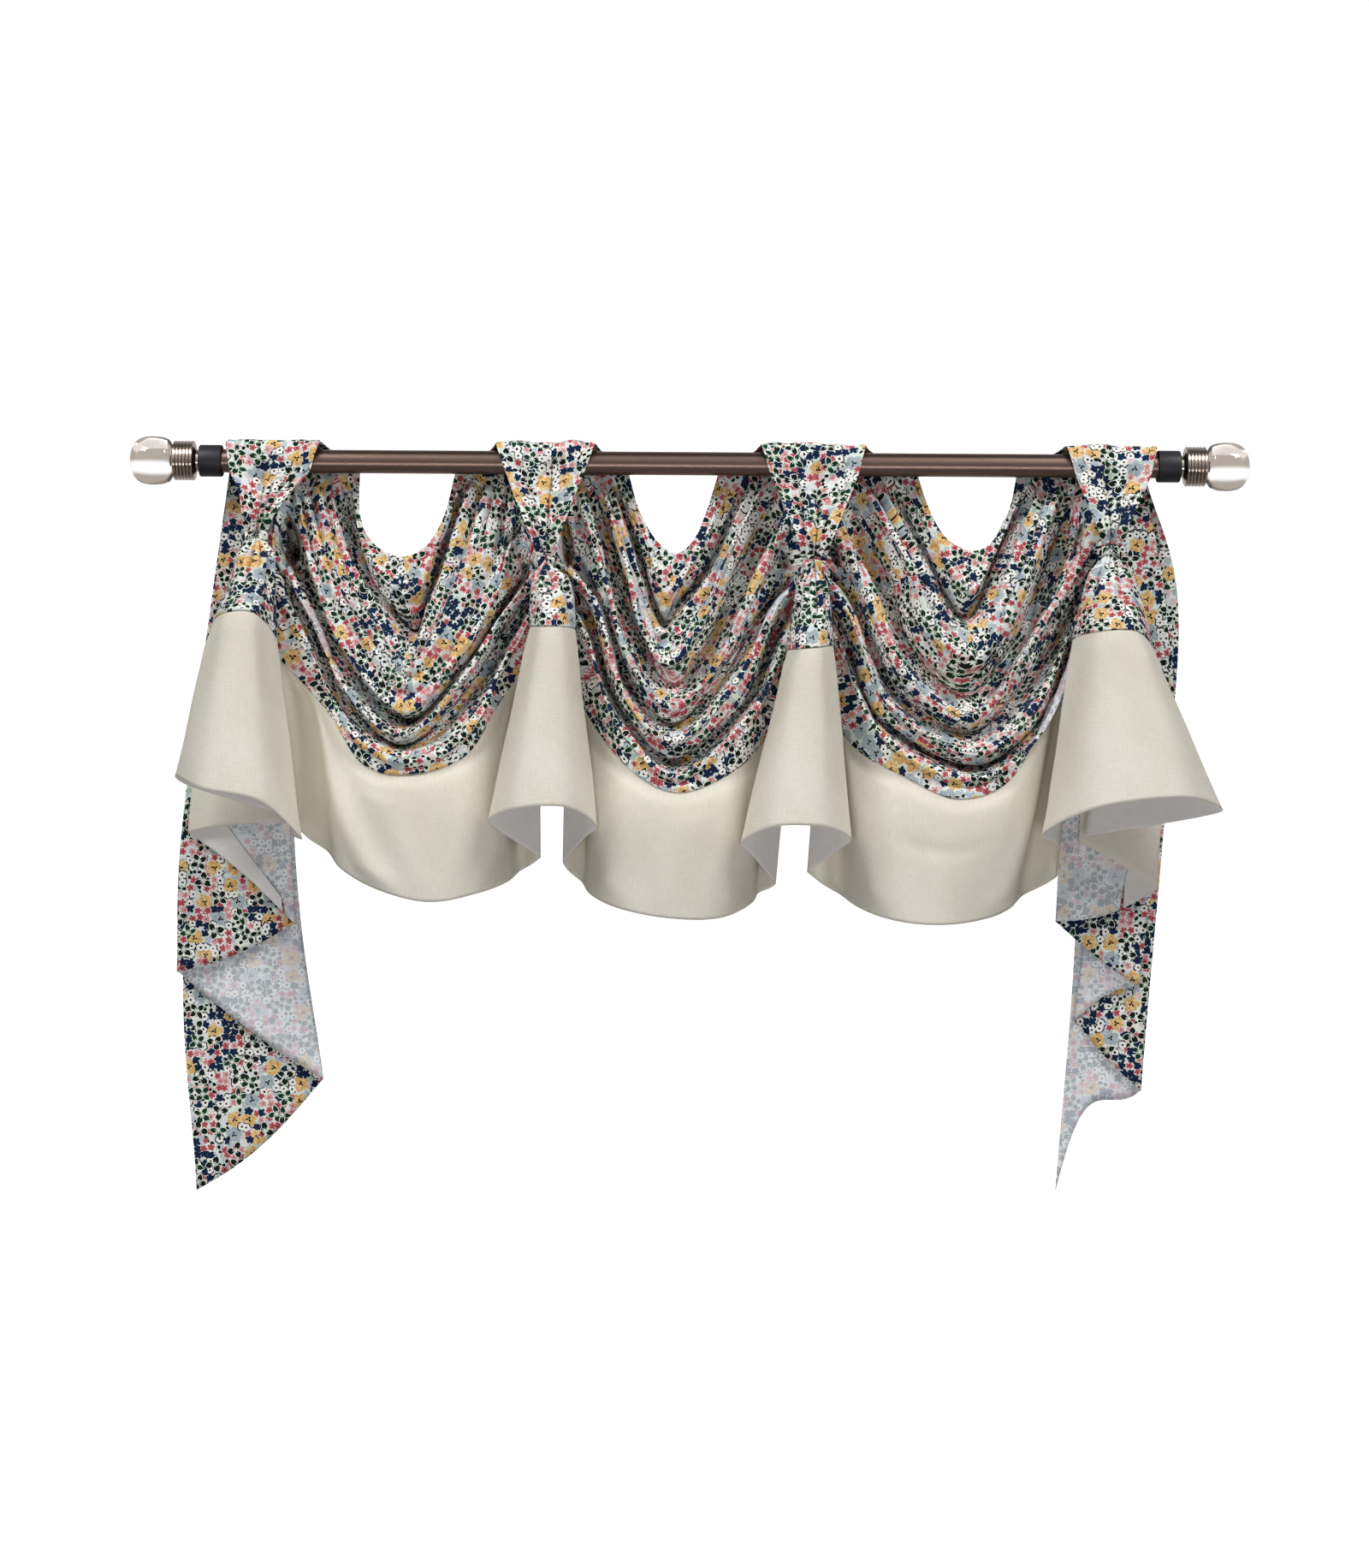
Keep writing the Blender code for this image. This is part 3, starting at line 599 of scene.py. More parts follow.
# The folds of each swag, from the scoop at the top to the seam. A row is one crest, valley or edge:
# left and right say how far down the edge path it starts, then five points across (x, z), then how far
# back (y) it lies at the left, in the middle and at the right.
SWAG_FOLDS = {
    1: [
        # left, outer left,  inner left,  bottom,  inner right,  outer right, right, y left, middle, right
        (0.00, (-355, -54), (-340, -86), (-311, -100), (-285, -90), (-265, -58), 0.00, 16, 13, 16),
        (0.04, (-356, -76), (-334, -119), (-301, -142), (-282, -116), (-262, -67), 0.04, 12, 6, 12),
        (0.09, (-357, -90), (-333, -136), (-296, -178), (-280, -135), (-260, -76), 0.05, 18, 16, 18),
        (0.14, (-366, -98), (-338, -149), (-297, -199), (-272, -145), (-249, -81), 0.09, 2, -10, 2),
        (0.21, (-385, -110), (-354, -167), (-298, -234), (-252, -172), (-225, -99), 0.17, -14, -26, -14),
        (0.30, (-402, -113), (-367, -199), (-302, -268), (-245, -208), (-199, -126), 0.27, -12, -28, -12),
        (0.46, (-404, -135), (-369, -205), (-302, -274), (-240, -213), (-196, -142), 0.48, 8, -8, 8),
        (0.55, (-402, -172), (-363, -245), (-302, -292), (-240, -231), (-196, -161), 0.55, -12, -34, -12),
        (0.60, (-397, -192), (-363, -258), (-304, -302), (-239, -250), (-196, -179), 0.62, 2, -20, 0),
        (0.72, (-399, -215), (-356, -290), (-296, -320), (-231, -283), (-194, -212), 0.75, -13, -44, -13),
        (1.00, (-387, -266), (-345, -324), (-294, -334), (-236, -314), (-201, -256), 1.00, -6, -38, -6),
    ],
    2: [
        (0.00, (-55, -46), (-37, -79), (-15, -95), (4, -81), (18, -50), 0.00, 16, 13, 16),
        (0.05, (-51, -76), (-35, -119), (-22, -140), (-4, -115), (20, -76), 0.05, 13, 6, 13),
        (0.08, (-51, -90), (-39, -140), (-26, -169), (-11, -145), (20, -104), 0.10, 18, 14, 18),
        (0.12, (-60, -104), (-43, -158), (-25, -185), (-2, -158), (31, -108), 0.15, 3, -6, 3),
        (0.16, (-64, -118), (-45, -185), (-20, -213), (10, -176), (42, -99), 0.20, -8, -20, -12),
        (0.20, (-74, -110), (-46, -186), (-16, -236), (19, -192), (53, -110), 0.26, 10, -6, 6),
        (0.28, (-89, -119), (-63, -204), (-18, -259), (35, -204), (74, -117), 0.36, -14, -30, -14),
        (0.44, (-99, -145), (-63, -231), (-15, -275), (37, -220), (81, -152), 0.50, -6, -18, 0),
        (0.52, (-104, -149), (-69, -249), (-13, -297), (53, -235), (92, -158), 0.56, -14, -38, -12),
        (0.58, (-107, -161), (-75, -258), (-17, -316), (58, -255), (98, -165), 0.62, 3, -22, 3),
        (0.72, (-111, -185), (-78, -272), (-13, -334), (65, -272), (105, -190), 0.74, -12, -44, -10),
        (1.00, (-98, -285), (-58, -331), (-12, -352), (37, -336), (76, -303), 1.00, -6, -42, -6),
    ],
    3: [
        (0.00, (258, -45), (276, -76), (303, -90), (325, -81), (344, -46), 0.00, 16, 13, 16),
        (0.05, (262, -72), (280, -115), (302, -135), (316, -119), (338, -72), 0.05, 12, 5, 13),
        (0.09, (256, -90), (276, -135), (297, -159), (315, -135), (336, -85), 0.08, 13, 12, 18),
        (0.14, (249, -99), (271, -149), (296, -179), (324, -149), (349, -90), 0.12, -2, -8, 2),
        (0.20, (235, -104), (260, -167), (296, -208), (331, -172), (364, -99), 0.19, -12, -22, -12),
        (0.28, (216, -119), (235, -185), (296, -246), (345, -195), (375, -134), 0.27, 6, -6, 14),
        (0.36, (195, -135), (231, -222), (298, -270), (347, -217), (389, -145), 0.45, -14, -32, -12),
        (0.50, (178, -145), (222, -240), (300, -284), (358, -235), (402, -165), 0.52, -4, -18, 12),
        (0.56, (171, -158), (215, -258), (301, -308), (365, -263), (407, -181), 0.60, -14, -40, -10),
        (0.62, (165, -176), (205, -272), (301, -320), (371, -274), (411, -195), 0.66, 0, -26, -2),
        (0.74, (165, -204), (204, -288), (301, -337), (374, -288), (411, -213), 0.76, -12, -44, -12),
        (1.00, (177, -302), (228, -333), (286, -357), (341, -337), (380, -274), 1.00, -6, -42, -6),
    ],
}

# The hem of each swag's cream band: seven points (x, z), the first and last on the necks, and its y.
BAND_HEMS = {
    1: [(-420, -392), (-390, -422), (-338, -452), (-276, -469), (-222, -460), (-181, -443), (-158, -423)],
    2: [(-134, -429), (-116, -454), (-72, -475), (-15, -485), (37, -484), (78, -465), (95, -450)],
    3: [(129, -437), (165, -465), (215, -485), (265, -490), (315, -484), (360, -467), (398, -440)],
}
BAND_HEM_Y = (14, 2, -35, -50, -35, 2, 14)

# The section of each horn at the gather, in the print, at the seam and at the hem:
# z of the left side, front left, front right and right side, x of the two sides, y of sides and front.
HORN_SECTIONS = {
    1: [(-75, -76, -76, -75, -476, -441, -24, -31),
        (-118, -120, -120, -120, -484, -440, -28, -46),
        (-177, -166, -166, -190, -506, -437, -30, -62),
        (-337, -351, -364, -402, -541, -408, -40, -92)],
    2: [(-100, -101, -101, -100, -164, -141, -24, -31),
        (-136, -138, -138, -136, -168, -124, -26, -44),
        (-177, -178, -178, -180, -169, -120, -28, -58),
        (-382, -370, -368, -388, -211, -97, -38, -86)],
    3: [(-102, -103, -103, -102, 121, 143, -24, -31),
        (-146, -148, -148, -146, 112, 149, -26, -44),
        (-201, -200, -198, -196, 104, 154, -28, -58),
        (-405, -387, -387, -400, 57, 173, -38, -86)],
    4: [(-84, -85, -85, -84, 437, 460, -24, -31),
        (-132, -130, -130, -140, 420, 478, -28, -48),
        (-187, -180, -180, -200, 407, 494, -30, -64),
        (-393, -365, -354, -365, 375, 564, -40, -94)],
}
FRONT_INSET = 0.27
SHOULDER_INSET = 0.1

# The straps from the gather at the front, up over the rod and down to the back: left and right edge (x)
# at the gather, half way up, at the rod's underside, on top and at the back, and z at the gather.
STRAPS = {
    1: dict(gather=(-472, -448), middle=(-478, -426), under=(-489, -406),
            top=(-496, -395), back=(-499, -372), low=-74.4),
    2: dict(gather=(-161, -143), middle=(-182, -127), under=(-195, -113),
            top=(-208, -101), back=(-228, -84), low=-99.4),
    3: dict(gather=(121, 144), middle=(103, 165), under=(87, 179),
            top=(76, 188), back=(56, 212), low=-101.4),
    4: dict(gather=(438, 459), middle=(422, 478), under=(412, 490),
            top=(402, 499), back=(376, 499), low=-83.4),
}

# The tails: each fold line from the back edge of the cascade to the front, or the other way for the right
# tail, as (x, y, z) at the rod, half way and at the hem.
TAILS = {
    1: [
        [(-498, 38, -4), (-547, 50, -504), (-533, 58, -789)],
        [(-440, 34, -4), (-426, 46, -432), (-395, 50, -666)],
        [(-497, 30, -4), (-546, 34, -380), (-553, 40, -550)],
        [(-438, 26, -4), (-432, 27, -330), (-425, 31, -496)],
        [(-495, 22, -4), (-527, 20, -270), (-539, 22, -399)],
        [(-436, 18, -4), (-432, 14, -260), (-432, 15, -388)],
    ],
    2: [
        [(433, 18, -4), (426, 14, -260), (422, 15, -404)],
        [(489, 22, -4), (517, 20, -185), (507, 22, -454)],
        [(435, 26, -4), (408, 26, -310), (399, 31, -489)],
        [(492, 30, -4), (530, 31, -175), (491, 40, -560)],
        [(437, 34, -4), (440, 40, -400), (422, 48, -598)],
        [(494, 38, -4), (529, 43, -180), (496, 55, -674)],
        [(439, 42, -4), (423, 52, -500), (404, 61, -784)],
    ],
}
# How far the hem between two fold lines bows below the straight line, and where the cream band starts:
# (place in fold lines from the first, z).
TAIL_HEM_BOWS = {1: (14, 6, 8, -6, -4), 2: (-4, 10, 4, -10, 4, -50)}
TAIL_HOOK = 1.6  # how much later than half way the last hem of the right tail bows
TAIL_BAND_SEAMS = {1: [(3.09, -470), (3.49, -410), (4.0, -326), (5.0, -262)],
                   2: [(0.0, -250), (1.0, -300), (1.35, -452)]}

# %% [markdown]
# ## From fold lines to fine cloth
#
# A lofted sheet could be a subdivided copy of the plain solid, but that would only round it off. Instead
# every sheet is lofted again with many more rows and columns, so that it can hold what cloth really does
# between two folds: a rounded crest, a sharp valley, pleats that run out of a gather, and crinkles in the
# pockets. A grid from bmesh gives the mesh, and its points are then laid on the surface.

# %% Curves and surfaces
TINY = 1e-6  # keeps a division by a length from failing
TINY_AREA = 1e-12  # and one by an area
NOISE_GAIN = 1.6  # brings the noise to about -1 to 1
# Every sort of unevenness has a seed of its own, and each swag, strap, horn or tail adds its number to
# it.
SEEDS = dict(crinkle=0, crease_line=5, crease_depth=6, pleat=10, broad=20, band=30, gather=40, horn=50,
             horn_band=60, strap=70, heave=75, tail=80, crumple=90)


def spline(points, at):
    """A smooth curve through evenly spaced points: at runs from 0 at the first to 1 at the last."""
    points = np.asarray(points, float)
    spans = len(points) - 1
    place = np.clip(np.asarray(at, float), 0, 1) * spans
    index = np.minimum(place.astype(int), spans - 1)
    t = (place - index).reshape((-1,) + (1,) * (points.ndim - 1))
    ends = np.concatenate([2 * points[:1] - points[1:2], points, 2 * points[-1:] - points[-2:-1]])
    before, start, end, after = (ends[index + k] for k in range(4))
    return 0.5 * (2 * start + (end - before) * t + (2 * before - 5 * start + 4 * end - after) * t**2
                  + (3 * start - before - 3 * end + after) * t**3)


def path(points, stops, at):
    """A point on the polyline whose corners lie at the given stops."""
    return np.array([np.interp(at, stops, [p[axis] for p in points]) for axis in range(3)])


def outward(points):
    """The direction that the right side of the cloth faces at each point of a grid."""
    out = np.cross(np.gradient(points, axis=0), np.gradient(points, axis=1))
    return out / np.maximum(np.linalg.norm(out, axis=2), TINY_AREA)[:, :, None]


def raised(points, heights):
    """The grid with each point moved out by a height in millimetres."""
    return points + outward(points) * (heights * MM)[:, :, None]


def noise_field(across, down, sort, number):
    """Smooth random heights, about -1 to 1, over two arrays of places."""
    across, down = np.broadcast_arrays(across, down)
    seed = SEEDS[sort] + number
    heights = [noise.noise(Vector((a, d, seed))) for a, d in zip(across.ravel(), down.ravel())]
    return np.array(heights).reshape(across.shape) * NOISE_GAIN


def puckers(across, down, sort, number, softness):
    """Creases with sharp bottoms and round crowns between them: -1 in a crease and 0 on a crown."""
    return -np.exp(-np.abs(noise_field(across, down, sort, number)) / softness)


def ease(value):
    """0 below 0, 1 above 1, and a soft step between."""
    value = np.clip(value, 0, 1)
    return value * value * (3 - 2 * value)


def hump(value, centre, width):
    return np.exp(-((value - centre) / width) ** 2)


def arc(points, axis):
    """The distance along the cloth from the first row or column, at each point."""
    steps = np.linalg.norm(np.diff(points, axis=axis), axis=2)
    gap = [(0, 0), (0, 0)]
    gap[axis] = (1, 0)
    return np.pad(np.cumsum(steps, axis=axis), gap)


def laid_flat(points, start=(0.0, 0.0)):
    """Each point's place on the flat cloth, measured along it from the middle column and the top row."""
    along = arc(points, 1)
    along = along - along[:, [points.shape[1] // 2]]
    down = arc(points, 0)
    return np.stack([along + start[0], start[1] - down], axis=2)


def fanned_flat(points, widest, apex, start=(0.0, 0.0)):
    """The same for cloth that fans out from a gather just above its top row, as a cone's cloth does."""
    down = apex + arc(points, 0).mean(axis=1)
    along = arc(points, 1)[widest]
    turn = (along - along[len(along) // 2]) / down[widest]
    across, drop = down[:, None] * np.sin(turn), down[:, None] * np.cos(turn)
    return np.stack([start[0] + across, start[1] - drop], axis=2)


def by_face(flat):
    """The flat places as the faces use them: four corners each, by row and column of the corner."""
    rows = [np.stack([row[:, :-1], row[:, 1:]], axis=2) for row in (flat[:-1], flat[1:])]
    return np.stack(rows, axis=2)


# %% A sheet from a grid
CLOTH_THICK = 0.8 * MM
# What a sheet is made of: the finish of its right side, that of its wrong side, and its slot.
PRINT = (*PRINT_CLOTH, "print_cloth")
PRINT_ON_BOTH_SIDES = (PRINT_CLOTH[0], PRINT_CLOTH[0], "print_cloth")
CREAM_COTTON = (*CREAM_CLOTH, "cream_cloth")


def cloth(node, points, flat_faces, stuff):
    """The cloth piece of one solid, from rows of points that run down it. Its right side faces out."""
    rows, columns = points.shape[:2]
    shape = bmesh.new()
    bmesh.ops.create_grid(shape, x_segments=columns - 1, y_segments=rows - 1, size=1.0)
    places = shape.loops.layers.uv.new("Cloth")
    grid_place = [(rows - 1 - index // columns, index % columns) for index in range(rows * columns)]
    for face in shape.faces:
        top, left = (min(grid_place[vert.index][axis] for vert in face.verts) for axis in (0, 1))
        for loop in face.loops:
            row, column = grid_place[loop.vert.index]
            loop[places].uv = flat_faces[top, left, row - top, column - left]
    for vert in shape.verts:
        vert.co = points[grid_place[vert.index]]
    *finishes, slot = stuff
    piece = finished(shape, f"{node}_cloth", finishes, node)
    solid = piece.modifiers.new("Cloth thickness", "SOLIDIFY")
    solid.thickness = CLOTH_THICK
    solid.offset = 0.0
    solid.use_quality_normals = True
    solid.material_offset = 1
    print(piece.name, points.shape)


def finished(shape, name, finishes, node):
    """The scene's piece for one solid of the frame, from a bmesh."""
    mesh = bpy.data.meshes.new(name)
    shape.to_mesh(mesh)
    shape.free()
    mesh.shade_smooth()
    for finish in finishes:
        mesh.materials.append(finish)
    piece = bpy.data.objects.new(name, mesh)
    bpy.context.scene.collection.objects.link(piece)
    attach(piece, "root")
    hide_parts(node)
    return piece


# How a band's top edge goes behind the print: how far up, how deep, over how many rows, and how round.
SEAM_LAP = 2.0
SEAM_DEPTH = 1.1
SEAM_ROWS = 4
SEAM_ROUNDNESS = 0.7


def sewn_below(points):
    """The grid of a band with its top edge turned in behind the print that it is sewn to."""
    rise = points[0] - points[1]
    rise /= np.linalg.norm(rise, axis=1)[:, None]
    fall = np.clip(1 - np.arange(len(points)) / SEAM_ROWS, 0, 1)[:, None, None]
    turned_in = raised(points, -SEAM_DEPTH * fall[:, :, 0] ** SEAM_ROUNDNESS * np.ones(points.shape[:2]))
    return turned_in + fall * (rise * SEAM_LAP * MM)[None]


# %% [markdown]
# ## The swags
#
# A swag is cut as a wide bell and gathered into its two short sides, which throws its folds across it in
# deep curves. The fold lines give the crests and valleys. Between them the cloth comes forward round the
# crest and drops behind the next one, so the depth follows a quarter of a sine: flat on the crest and
# steep in the valley.
#
# The print would be squeezed if one set of cloth coordinates ran down the whole swag, because the rows
# close up at the sides. On the real swag the spare cloth is folded away there. So each fold carries its
# own strip of the print, measured from its crest, and the strips change in the valleys, where the real
# print disappears too.

# %% The rows of a swag
SWAG_COLUMNS = 141
ROWS_PER_FOLD = 18
NECK_GAP = 0.5
NECK_SET_BACK = 3.2
INNER_SHARE = 0.3  # how much of the sides' depth the inner points of a fold line take over


def swag_edge(number, side):
    """The path of a swag's edge, from the scoop's corner to the seam at the neck."""
    horn = number if side == "left" else number + 1
    gather, seam, _ = NECKS[horn]["right" if side == "left" else "left"]
    return [*BACK_EDGES[number][side], gather, seam]


def swag_row(number, fold):
    left, outer_l, inner_l, bottom, inner_r, outer_r, right, y_left, y_middle, y_right = fold
    start = path(swag_edge(number, "left"), EDGE_STOPS, left)
    end = path(swag_edge(number, "right"), EDGE_STOPS, right)
    y_inner_l = y_middle + INNER_SHARE * (y_left - y_middle)
    y_inner_r = y_middle + INNER_SHARE * (y_right - y_middle)
    return [start, (outer_l[0], y_left, outer_l[1]), (inner_l[0], y_inner_l, inner_l[1]),
            (bottom[0], y_middle, bottom[1]), (inner_r[0], y_inner_r, inner_r[1]),
            (outer_r[0], y_right, outer_r[1]), end]


def inset_ends(points):
    """Sets the first and last column off from the seam lines at the necks, so that pieces just clear."""
    points[..., 0, :] += np.array((NECK_GAP, NECK_SET_BACK, 0)) * MM
    points[..., -1, :] += np.array((-NECK_GAP, NECK_SET_BACK, 0)) * MM
    return points


def swag_valleys(number):
    """The rows of a swag's table that lie deeper than the rows above and below."""
    depth = [fold[8] for fold in SWAG_FOLDS[number]]
    return [k for k in range(1, len(depth) - 1) if depth[k] > depth[k - 1] and depth[k] >= depth[k + 1]]


print("valleys of the swags:", {number: swag_valleys(number) for number in SWAG_FOLDS})

# %% Crinkles, creases and pockets
# Crinkles: height, where they lie (centre and half width), how many across and how many to a row,
# softness.
CRINKLES = dict(crinkle=(4.0, (0.5, 0.26), (5, 2.3), 0.24), pleat=(6.0, (0.14, 0.16), (1.8, 2.6), 0.2))
BROAD_WAVE = 2.0
BROAD_WAVES = (4, 0.8)  # across the swag and to a row
# Where the unevenness fades out: at the sides as a share of the width, and in rows at the top and the
# bottom
SIDE_FADE = 0.06
TOP_FADE = 0.4
BOTTOM_FADE = 0.5
# Further creases between the fold lines: place in rows at the left, in the middle and at the right, and
# the depth in millimetres at the same three.
SWAG_CREASES = {
    1: [(1.30, 1.20, 1.40, 3, 2, 4), (2.60, 2.60, 2.50, 9, 2, 5), (3.20, 3.25, 3.30, 4, 4, 9),
        (3.95, 3.90, 4.20, 7, 4, 5), (4.55, 4.45, 4.60, 3, 3, 8), (5.40, 5.35, 5.30, 5, 2, 4),
        (7.00, 7.50, 7.10, 6, 2, 5), (9.30, 9.45, 9.20, 4, 3, 6)],
    2: [(1.20, 1.30, 1.30, 3, 2, 3), (3.30, 3.20, 3.40, 7, 3, 8), (4.40, 4.45, 4.30, 8, 4, 4),
        (5.50, 5.55, 5.45, 3, 3, 7), (6.40, 6.45, 6.50, 7, 3, 5), (8.20, 8.40, 8.10, 5, 3, 7),
        (10.2, 10.4, 10.3, 5, 3, 4)],
    3: [(1.40, 1.30, 1.20, 4, 2, 3), (2.60, 2.70, 2.60, 5, 2, 8), (3.50, 3.45, 3.30, 8, 4, 5),
        (4.45, 4.50, 4.60, 5, 3, 7), (5.50, 5.40, 5.50, 7, 4, 4), (6.50, 6.50, 6.40, 4, 3, 6),
        (8.30, 8.40, 8.20, 6, 2, 5), (10.3, 10.4, 10.2, 4, 3, 5)],
}
CREASE_WIDTH = 0.15
CREASE_CROWN = 0.55
CROWN_PLACE = 0.34
CROWN_WIDTH = 0.22
CREASE_DEPTH = 1.6
CREASE_SWERVE = 0.12
CREASE_SWERVES = 4
CREASE_UNEVENNESS = 0.5
CREASE_SWELLS = 5
CREASE_APART = 0.7  # how far apart in the noise two creases are
# Beside the pinches the cloth parts in deep dark pockets: the pointed top and bottom (x, z), half width
# and depth.
DARK_POCKETS = {
    1: [((-432, -54), (-430, -108), 15.0, 48), ((-182, -66), (-200, -92), 5.0, 20)],
    2: [((-135, -48), (-131, -116), 10.0, 36), ((98, -84), (104, -112), 6.0, 22)],
    3: [((153, -78), (160, -108), 7.0, 26), ((424, -56), (414, -96), 6.0, 24)],
}
POCKET_LOWNESS = 1.3
POCKET_FULLNESS = 0.8
POCKET_STEEPNESS = 1.1


def crinkled(where, u, v, sort, number):
    """One sort of crinkle, strongest at its own place."""
    height, spot, (across, down), softness = CRINKLES[sort]
    return height * hump(where, *spot) * puckers(u * across, v * down, sort, number, softness)


def crease_heights(number, across, down):
    """Each crease as a sharp valley with a soft crown above it."""
    heights = 0.0
    for index, crease in enumerate(SWAG_CREASES[number]):
        swerve = noise_field(across * CREASE_SWERVES, CREASE_APART * index, "crease_line", number)
        swell = noise_field(across * CREASE_SWELLS, CREASE_APART * index, "crease_depth", number)
        depth = CREASE_DEPTH * spline(crease[3:], across) * (1 + CREASE_UNEVENNESS * swell)
        off = down[:, None] - (spline(crease[:3], across) + CREASE_SWERVE * swerve)[None, :]
        valley = np.exp(-np.abs(off) / CREASE_WIDTH)
        crown = hump(off, -CROWN_PLACE, CROWN_WIDTH)
        heights = heights + depth * (CREASE_CROWN * crown - valley)
    return heights


def pocket_depth(points, top, bottom, half_width, depth):
    """How far back a leaf-shaped pocket takes each point: top and bottom are its pointed ends (x, z)."""
    x, z = points[:, :, 0] / MM, points[:, :, 2] / MM
    (x0, z0), (x1, z1) = top, bottom
    down = np.clip((z - z0) / (z1 - z0), 0, 1)
    middle = x0 + (x1 - x0) * down
    room = half_width * np.sin(math.pi * down ** POCKET_LOWNESS) ** POCKET_FULLNESS + TINY
    return depth * MM * np.clip(POCKET_STEEPNESS * (1 - np.abs(x - middle) / room), 0, 1)


print("creases of the swags:", {number: len(rows) for number, rows in SWAG_CREASES.items()})

# %% [markdown]
# ### The tips of the back folds
#
# A back fold near a neck is so tight that its two sides could cross, and then the right side of the print
# would show on the back of the swag. So the tips of these folds are looked at from behind, and drawn in
# where they cross.

# %% Tips that don't cross
# How far out towards the back the right side faces where it has crossed, how often the tips are looked
# at, and how often they are then drawn in, over how many rows and columns round a crossed point
CROSSED_FACING = 0.1
TIP_CLEARANCE = 0.3 * MM
TIP_LOOKS = 9
TIP_ROUNDS = 5
TIP_REACH = (4, 3)
TIP_GAIN = 1.5
RIM = [0, 1, -2, -1]  # the outermost rows and columns, which stay


def crossed_tips(points):
    """Where the right side of the cloth shows at the back, because the two sides of a fold have crossed."""
    rows, columns = points.shape[:2]
    faces = by_face(np.arange(rows * columns).reshape(rows, columns)).reshape(-1, 4)[:, [0, 1, 3, 2]]
    sheet = BVHTree.FromPolygons(points.reshape(-1, 3).tolist(), faces.tolist())
    crossed = np.zeros((rows, columns))
    for row, column in np.argwhere(outward(points)[:, :, 1] > CROSSED_FACING):
        start = Vector(points[row, column]) + Vector((0, TIP_CLEARANCE, 0))
        if sheet.ray_cast(start, Vector((0, 1, 0)))[0] is None:
            crossed[row, column] = 1.0
    return crossed


def eased_tips(points):
    """The grid with the tips of its back folds drawn in until their sides no longer cross."""
    for _ in range(TIP_LOOKS):
        crossed = crossed_tips(points)
        left_over = int(crossed.sum())
        for axis, reach in enumerate(TIP_REACH):
            near = [np.roll(crossed, step, axis=axis) for step in range(-reach, reach + 1)]
            crossed = np.mean(near, axis=0) ** 0.5
        crossed = np.clip(TIP_GAIN * crossed, 0, 1)
        crossed[RIM] = 0
        crossed[:, RIM] = 0
        for _ in range(TIP_ROUNDS):
            drawn_in = (points[:-2] + points[2:]) / 2 - points[1:-1]
            points[1:-1] += 0.5 * drawn_in * crossed[1:-1, :, None]
    print("swag with", left_over, "crossed points before the last easing")
    return points

# %% The surfaces of the swags
VALLEY_SHARPNESS = 0.9
LIP = 0.5  # how far the lower side of a crest hangs over the next fold, as a share of the way between them
MOST_LIP = 9.0
FULL_DEPTH = 10.0  # a crest hangs over in full where the cloth falls back by this much
DEEPER_VALLEY = 25.0
VALLEY_START = 0.09
VALLEY_WIDTH = 1.6


def swag_points(number):
    across = np.linspace(0, 1, SWAG_COLUMNS)
    lines = np.array([spline(swag_row(number, fold), across) for fold in SWAG_FOLDS[number]]) * MM
    for valley in swag_valleys(number):
        lines[valley, :, 1] += DEEPER_VALLEY * MM * ease(np.minimum(across, 1 - across) / VALLEY_START)
    place = np.linspace(0, len(lines) - 1, (len(lines) - 1) * ROWS_PER_FOLD + 1)
    points = spline(lines, place / (len(lines) - 1))
    upper = np.minimum(place.astype(int), len(lines) - 2)
    t = (place - upper)[:, None] * math.pi / 2
    start, end = lines[upper, :, 1], lines[upper + 1, :, 1]
    forward = start + (end - start) * np.sin(t) ** VALLEY_WIDTH
    back = end + (start - end) * np.cos(t)
    folded = np.where(end < start, forward, back)
    points[:, :, 1] += VALLEY_SHARPNESS * (folded - points[:, :, 1])
    way = lines[upper + 1] - lines[upper]
    way[:, :, 1] = 0
    overhang = np.minimum(LIP, MOST_LIP * MM / np.maximum(np.linalg.norm(way, axis=2), TINY))
    depth = np.clip((end - start) / (FULL_DEPTH * MM), 0, 1)
    swing = np.sin(2 * t) * np.sin(t)
    points += way * (overhang * depth * swing)[:, :, None]
    u, v, last = across[None, :], place[:, None], len(lines) - 1
    side = np.minimum(u, 1 - u)
    crinkle = crinkled(u, u, v, "crinkle", number)
    pleats = crinkled(side, u, v, "pleat", number)
    broad = BROAD_WAVE * noise_field(u * BROAD_WAVES[0], v * BROAD_WAVES[1], "broad", number)
    fade = ease(side / SIDE_FADE) * ease(v / TOP_FADE) * ease((last - v) / BOTTOM_FADE)
    creases = crease_heights(number, across, place)
    points = raised(points, (crinkle + pleats + broad + creases) * fade)
    points[:, :, 1] += np.max([pocket_depth(points, *pocket) for pocket in DARK_POCKETS[number]], axis=0)
    return inset_ends(eased_tips(points))


swag_prints = {number: swag_points(number) for number in SWAG_FOLDS}

# %% The swags' strips of print
STRIP_SPACING = 0.47  # metres of pattern between one fold's strip and the next
SWAG_SPACING = 0.31  # and between one swag and the next
MOST_SLACK = 1.5  # how much longer the way over a fold may be than the straight one
# Beyond this the print isn't stretched: it breaks along a clean line, as at a mitred seam.
MOST_STRETCH = 2.5
STRETCH_SLACK = 0.5 * MM


